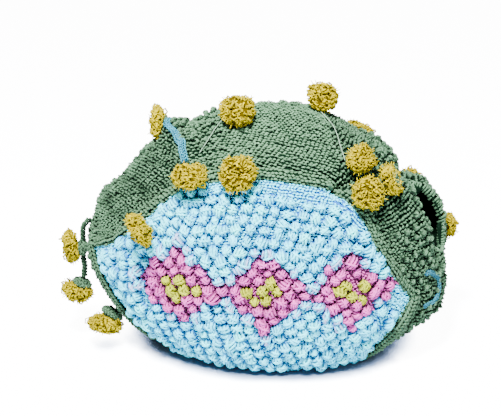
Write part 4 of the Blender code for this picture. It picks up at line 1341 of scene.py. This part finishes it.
def green_nubs(cloths):
    """Small green knots, close together where the cover is gathered."""
    wild = np.random.default_rng(NUB_SEED)
    ways, sizes = [], []
    for from_azimuth, to_azimuth, from_elevation, to_elevation, apart, size in NUB_AREAS:
        rows = np.arange(from_elevation, to_elevation, degrees(apart * 0.86 / MEAN_REACH))
        for number, elevation in enumerate(rows):
            step = degrees(apart / MEAN_REACH) / cos(radians(elevation))
            azimuth = np.arange(from_azimuth + (number % 2) * step / 2, to_azimuth, step)
            shake = wild.standard_normal((2, len(azimuth))) * 0.35
            ways.append(direction(azimuth + shake[0], elevation + shake[1]))
            sizes.append(size * shaken(wild, 0.14, len(azimuth)))
    d, size = np.concatenate(ways), np.concatenate(sizes)
    p = on_body(d)
    keep = thinned(p, NUB_APART) & (spout_share(p) > 1.12) & (wild.uniform(size=len(p)) < 0.9)
    keep &= ~cloths["front_panel"].where(p)[2]
    d, p, size = d[keep], p[keep], size[keep]
    frames = side_frames(d, wild.uniform(0, 2 * pi, len(d)))
    dye = varied(wild, SAGE * 1.06, len(d), 0.12)
    made = Strands()
    wound = {"strands": 5, "radius": 0.74, "tall": 1.3, "sides": 3}
    # painted shade: each knot's strands and core darken towards its base
    knots(made, p + d * NUB_LIFT, frames, size, wild, dye, SAGE_SHADE, dye, **wound)
    return made.mesh("green_nubs", "sage yarn")


# ---- the tufts' places: how they face, and the way each cup points

TUFTS = (
    # name, half width, height and thickness, azimuth and elevation faced, shift across and up
    ("crown_left", 13.0, 12.6, 8.0, 255, 48, 0.0, 0.0),
    ("crown_right", 11.5, 11.0, 7.5, 275, 25, -2.6, -0.8),
    ("shoulder_back", 12.0, 12.0, 7.0, 30, 60, 0.0, 1.5),
    ("shoulder_front", 11.0, 10.5, 7.5, 300, 35, 0.0, 0.0),
    ("pleat_left", 12.5, 11.5, 7.5, 288, 12, -1.0, 2.0),
    ("pleat_right", 11.0, 11.5, 5.5, 345, 25, 0.5, 2.4),
    ("spout_back", 12.0, 12.0, 6.5, 30, 30, -1.5, 2.5),
    ("seam", 13.0, 10.0, 7.0, 250, 52, -2.8, 1.2),
    ("rim", 13.0, 12.6, 8.0, 262, 25, -1.8, 1.6),
    ("left_panel", 13.0, 13.0, 5.5, 358, 36, 0.0, 0.0),
    ("peak", 8.5, 12.5, 5.5, 196, 8, 2.4, -1.6),
    ("spout", 10.0, 10.0, 6.0, 25, 0, -2.4, -0.4),
    ("tip", 12.5, 12.5, 6.0, 186, -14, 0.0, 0.0),
    ("low", 13.0, 12.5, 7.5, 235, -76, 0.5, 0.6),
    ("hanging", 12.4, 12.0, 7.6, 200, -74, 0.0, 0.0),
)
CUPS = (
    # name, azimuth and elevation in which it points, radius, length
    ("peak", 181, 6, 4.5, 3.5),
    ("spout", 22, -3, 4.5, 4.0),
    ("tip", 184, 2, 5.5, 8.0),
    ("low", 214, -52, 8.2, 8.0),
    ("hanging", 200, -66, 6.8, 6.5),
)
GREEN_HEARTED = ("pleat_right",)
PITTED = ("rim", "crown_right", "shoulder_front")
PIT, DIMPLE = 0.5, 0.18


def middle(node):
    low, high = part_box(node)
    return (np.array(low[:]) + np.array(high[:])) / 2 / MM


def dressing():
    """Tufts, cups, stalks and cords, each with the node that it stands for and its slot."""
    made = []
    for seed, (name, *shape, azimuth, elevation, across, up) in enumerate(TUFTS, TUFT_SEEDS):
        node = "tuft_" + name
        centre = middle(node) + np.array((across, 0, up))
        dimple = PIT if name in PITTED else DIMPLE
        heart = SAGE if name in GREEN_HEARTED else None
        facing = direction(azimuth, elevation)
        piece = looped_tuft(node, centre, facing, np.array(shape), seed, dimple, heart)
        made.append((node, piece, "mustard_yarn"))
    for seed, (name, azimuth, elevation, radius, length) in enumerate(CUPS, CUP_SEEDS):
        node = "cup_" + name
        piece = knitted_cup(node, middle(node), direction(azimuth, elevation), radius, length, seed)
        made.append((node, piece, "green_yarn"))
    made += [(node, plaited(node), "green_yarn") for node in ("stalk_bowed", "stalk_hanging")]
    for name in ("fold", "corner"):
        made.append((name + "_cord", knitted_tape(name + "_tape"), "light_blue_yarn"))
    return made


# ---- setting, light and camera

LENS, SENSOR, TILT = 85, 36, 22
FRAME_WIDTH, PIXELS_PER_MM = 501, 1.25
AIM = (0.00975, 0.00442, 0.095)
DISTANCE = FRAME_WIDTH * LENS / SENSOR / PIXELS_PER_MM * MM
SHIFT = (-0.0489, 0.0337)
LIGHTS = (
    # name, place, size, power, colour
    ("key", (-0.15, -0.6, 1.2), 0.24, 108, (1.0, 0.99, 0.97)),
    ("fill", (0.9, -0.6, 0.7), 0.8, 4, (0.92, 0.96, 1.0)),
)
LIGHTS_AIM = (0, 0, 0.08)
TABLE_HALF = 6
SKY, SKY_LIGHT, SKY_GLOW = (0.94, 0.97, 1.0, 1), 0.38, 18.0
CONTACT_REACH = 0.021  # how near the cover the painted contact shadow reaches, in metres
# colours of the painted contact shadow and of the open table, for its base and for its glow
TABLE_SHADOW, TABLE_WHITE = (0.08, 0.12, 0.19, 1), (0.84, 0.89, 1.0, 1)
GLOW_SHADOW, GLOW_WHITE = (0.30, 0.52, 1.0, 1), (1, 1, 1, 1)
TABLE_LEAST, TABLE_GLOW, TABLE_ROUGHNESS = 0.02, 13.0, 0.7
OPEN_GAIN, OPEN_START, OPEN_POWER = 2.6, -0.98, 1.7


def camera():
    data = bpy.data.cameras.new("camera")
    data.lens, data.sensor_width = LENS, SENSOR
    data.shift_x, data.shift_y = SHIFT
    data.clip_start, data.clip_end = 0.01, 20
    made = placed("camera", data)
    made.location = Vector(AIM) + Vector((0, -cos(radians(TILT)), sin(radians(TILT)))) * DISTANCE
    made.rotation_euler = (radians(90 - TILT), 0, 0)
    bpy.context.scene.camera = made


def studio():
    world = bpy.data.worlds.new("studio")
    bpy.context.scene.world = world
    world.use_nodes = True
    tree = world.node_tree
    seen = wired(tree, "LightPath", {})["Is Camera Ray"]
    glow = maths(tree, "MULTIPLY_ADD", seen, SKY_GLOW, SKY_LIGHT)
    feed(tree, tree.nodes["Background"], {"Color": SKY, "Strength": glow})
    for name, place, size, power, colour in LIGHTS:
        data = bpy.data.lights.new(name, "AREA")
        data.shape, data.size, data.energy, data.color = "DISK", size, power, colour
        lamp = placed(name, data)
        lamp.location = place
        aim = Vector(LIGHTS_AIM) - Vector(place)
        lamp.rotation_euler = aim.to_track_quat("-Z", "Y").to_euler()
    white_table()
    bm = bmesh.new()
    bmesh.ops.create_grid(bm, x_segments=1, y_segments=1, size=TABLE_HALF)
    moulded("table", bm, "white table")


def white_table():
    """A lit white table: bright all over, with a painted soft bluish contact shadow where the cover
    stands close.
    """
    white = bpy.data.materials.new("white table")
    white.use_nodes = True
    tree = white.node_tree
    close = wired(tree, "AmbientOcclusion", {"Distance": CONTACT_REACH}, samples=8)["AO"]
    open_sky = maths(tree, "MULTIPLY_ADD", close, OPEN_GAIN, OPEN_START)
    open_sky = maths(tree, "MINIMUM", maths(tree, "MAXIMUM", open_sky, 0.0), 1.0)
    free = maths(tree, "POWER", open_sky, OPEN_POWER)
    base, tint = (
        wired(tree, "Mix", {0: free, 6: dark, 7: light}, data_type="RGBA")[2]
        for dark, light in ((TABLE_SHADOW, TABLE_WHITE), (GLOW_SHADOW, GLOW_WHITE))
    )
    glow = maths(tree, "MULTIPLY_ADD", free, TABLE_GLOW, TABLE_LEAST)
    seen = wired(tree, "LightPath", {})["Is Camera Ray"]
    feed(tree, tree.nodes["Principled BSDF"], {
        "Roughness": TABLE_ROUGHNESS,
        "Base Color": base,
        "Emission Color": tint,
        "Emission Strength": maths(tree, "MULTIPLY", glow, seen),
    })


# ---- all of it


def main():
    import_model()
    camera()
    studio()
    spin_yarns()
    cloths = {name: Cloth(name, grid) for name, grid in cloth_grids().items()}
    made = {name: green_cloth(cloths[name]) for name in GREEN}
    made["front_panel"] = blue_panel(cloths["front_panel"])
    edge_left, edge_right = knitted_tape("edge_left"), knitted_tape("edge_right")
    extras = {
        "spout_end": [opening_lip(), green_nubs(cloths), edge_right],
        "crown": threads(),
        "left_end": [edge_left],
    }
    for name, (base, parts) in made.items():
        parts = [*parts, *extras.get(name, ())]
        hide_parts(name)
        for piece in (base, *parts):
            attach(piece, "root")
    for node, piece, slot in dressing():
        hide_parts(node)
        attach(piece, "root")
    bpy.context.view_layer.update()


main()
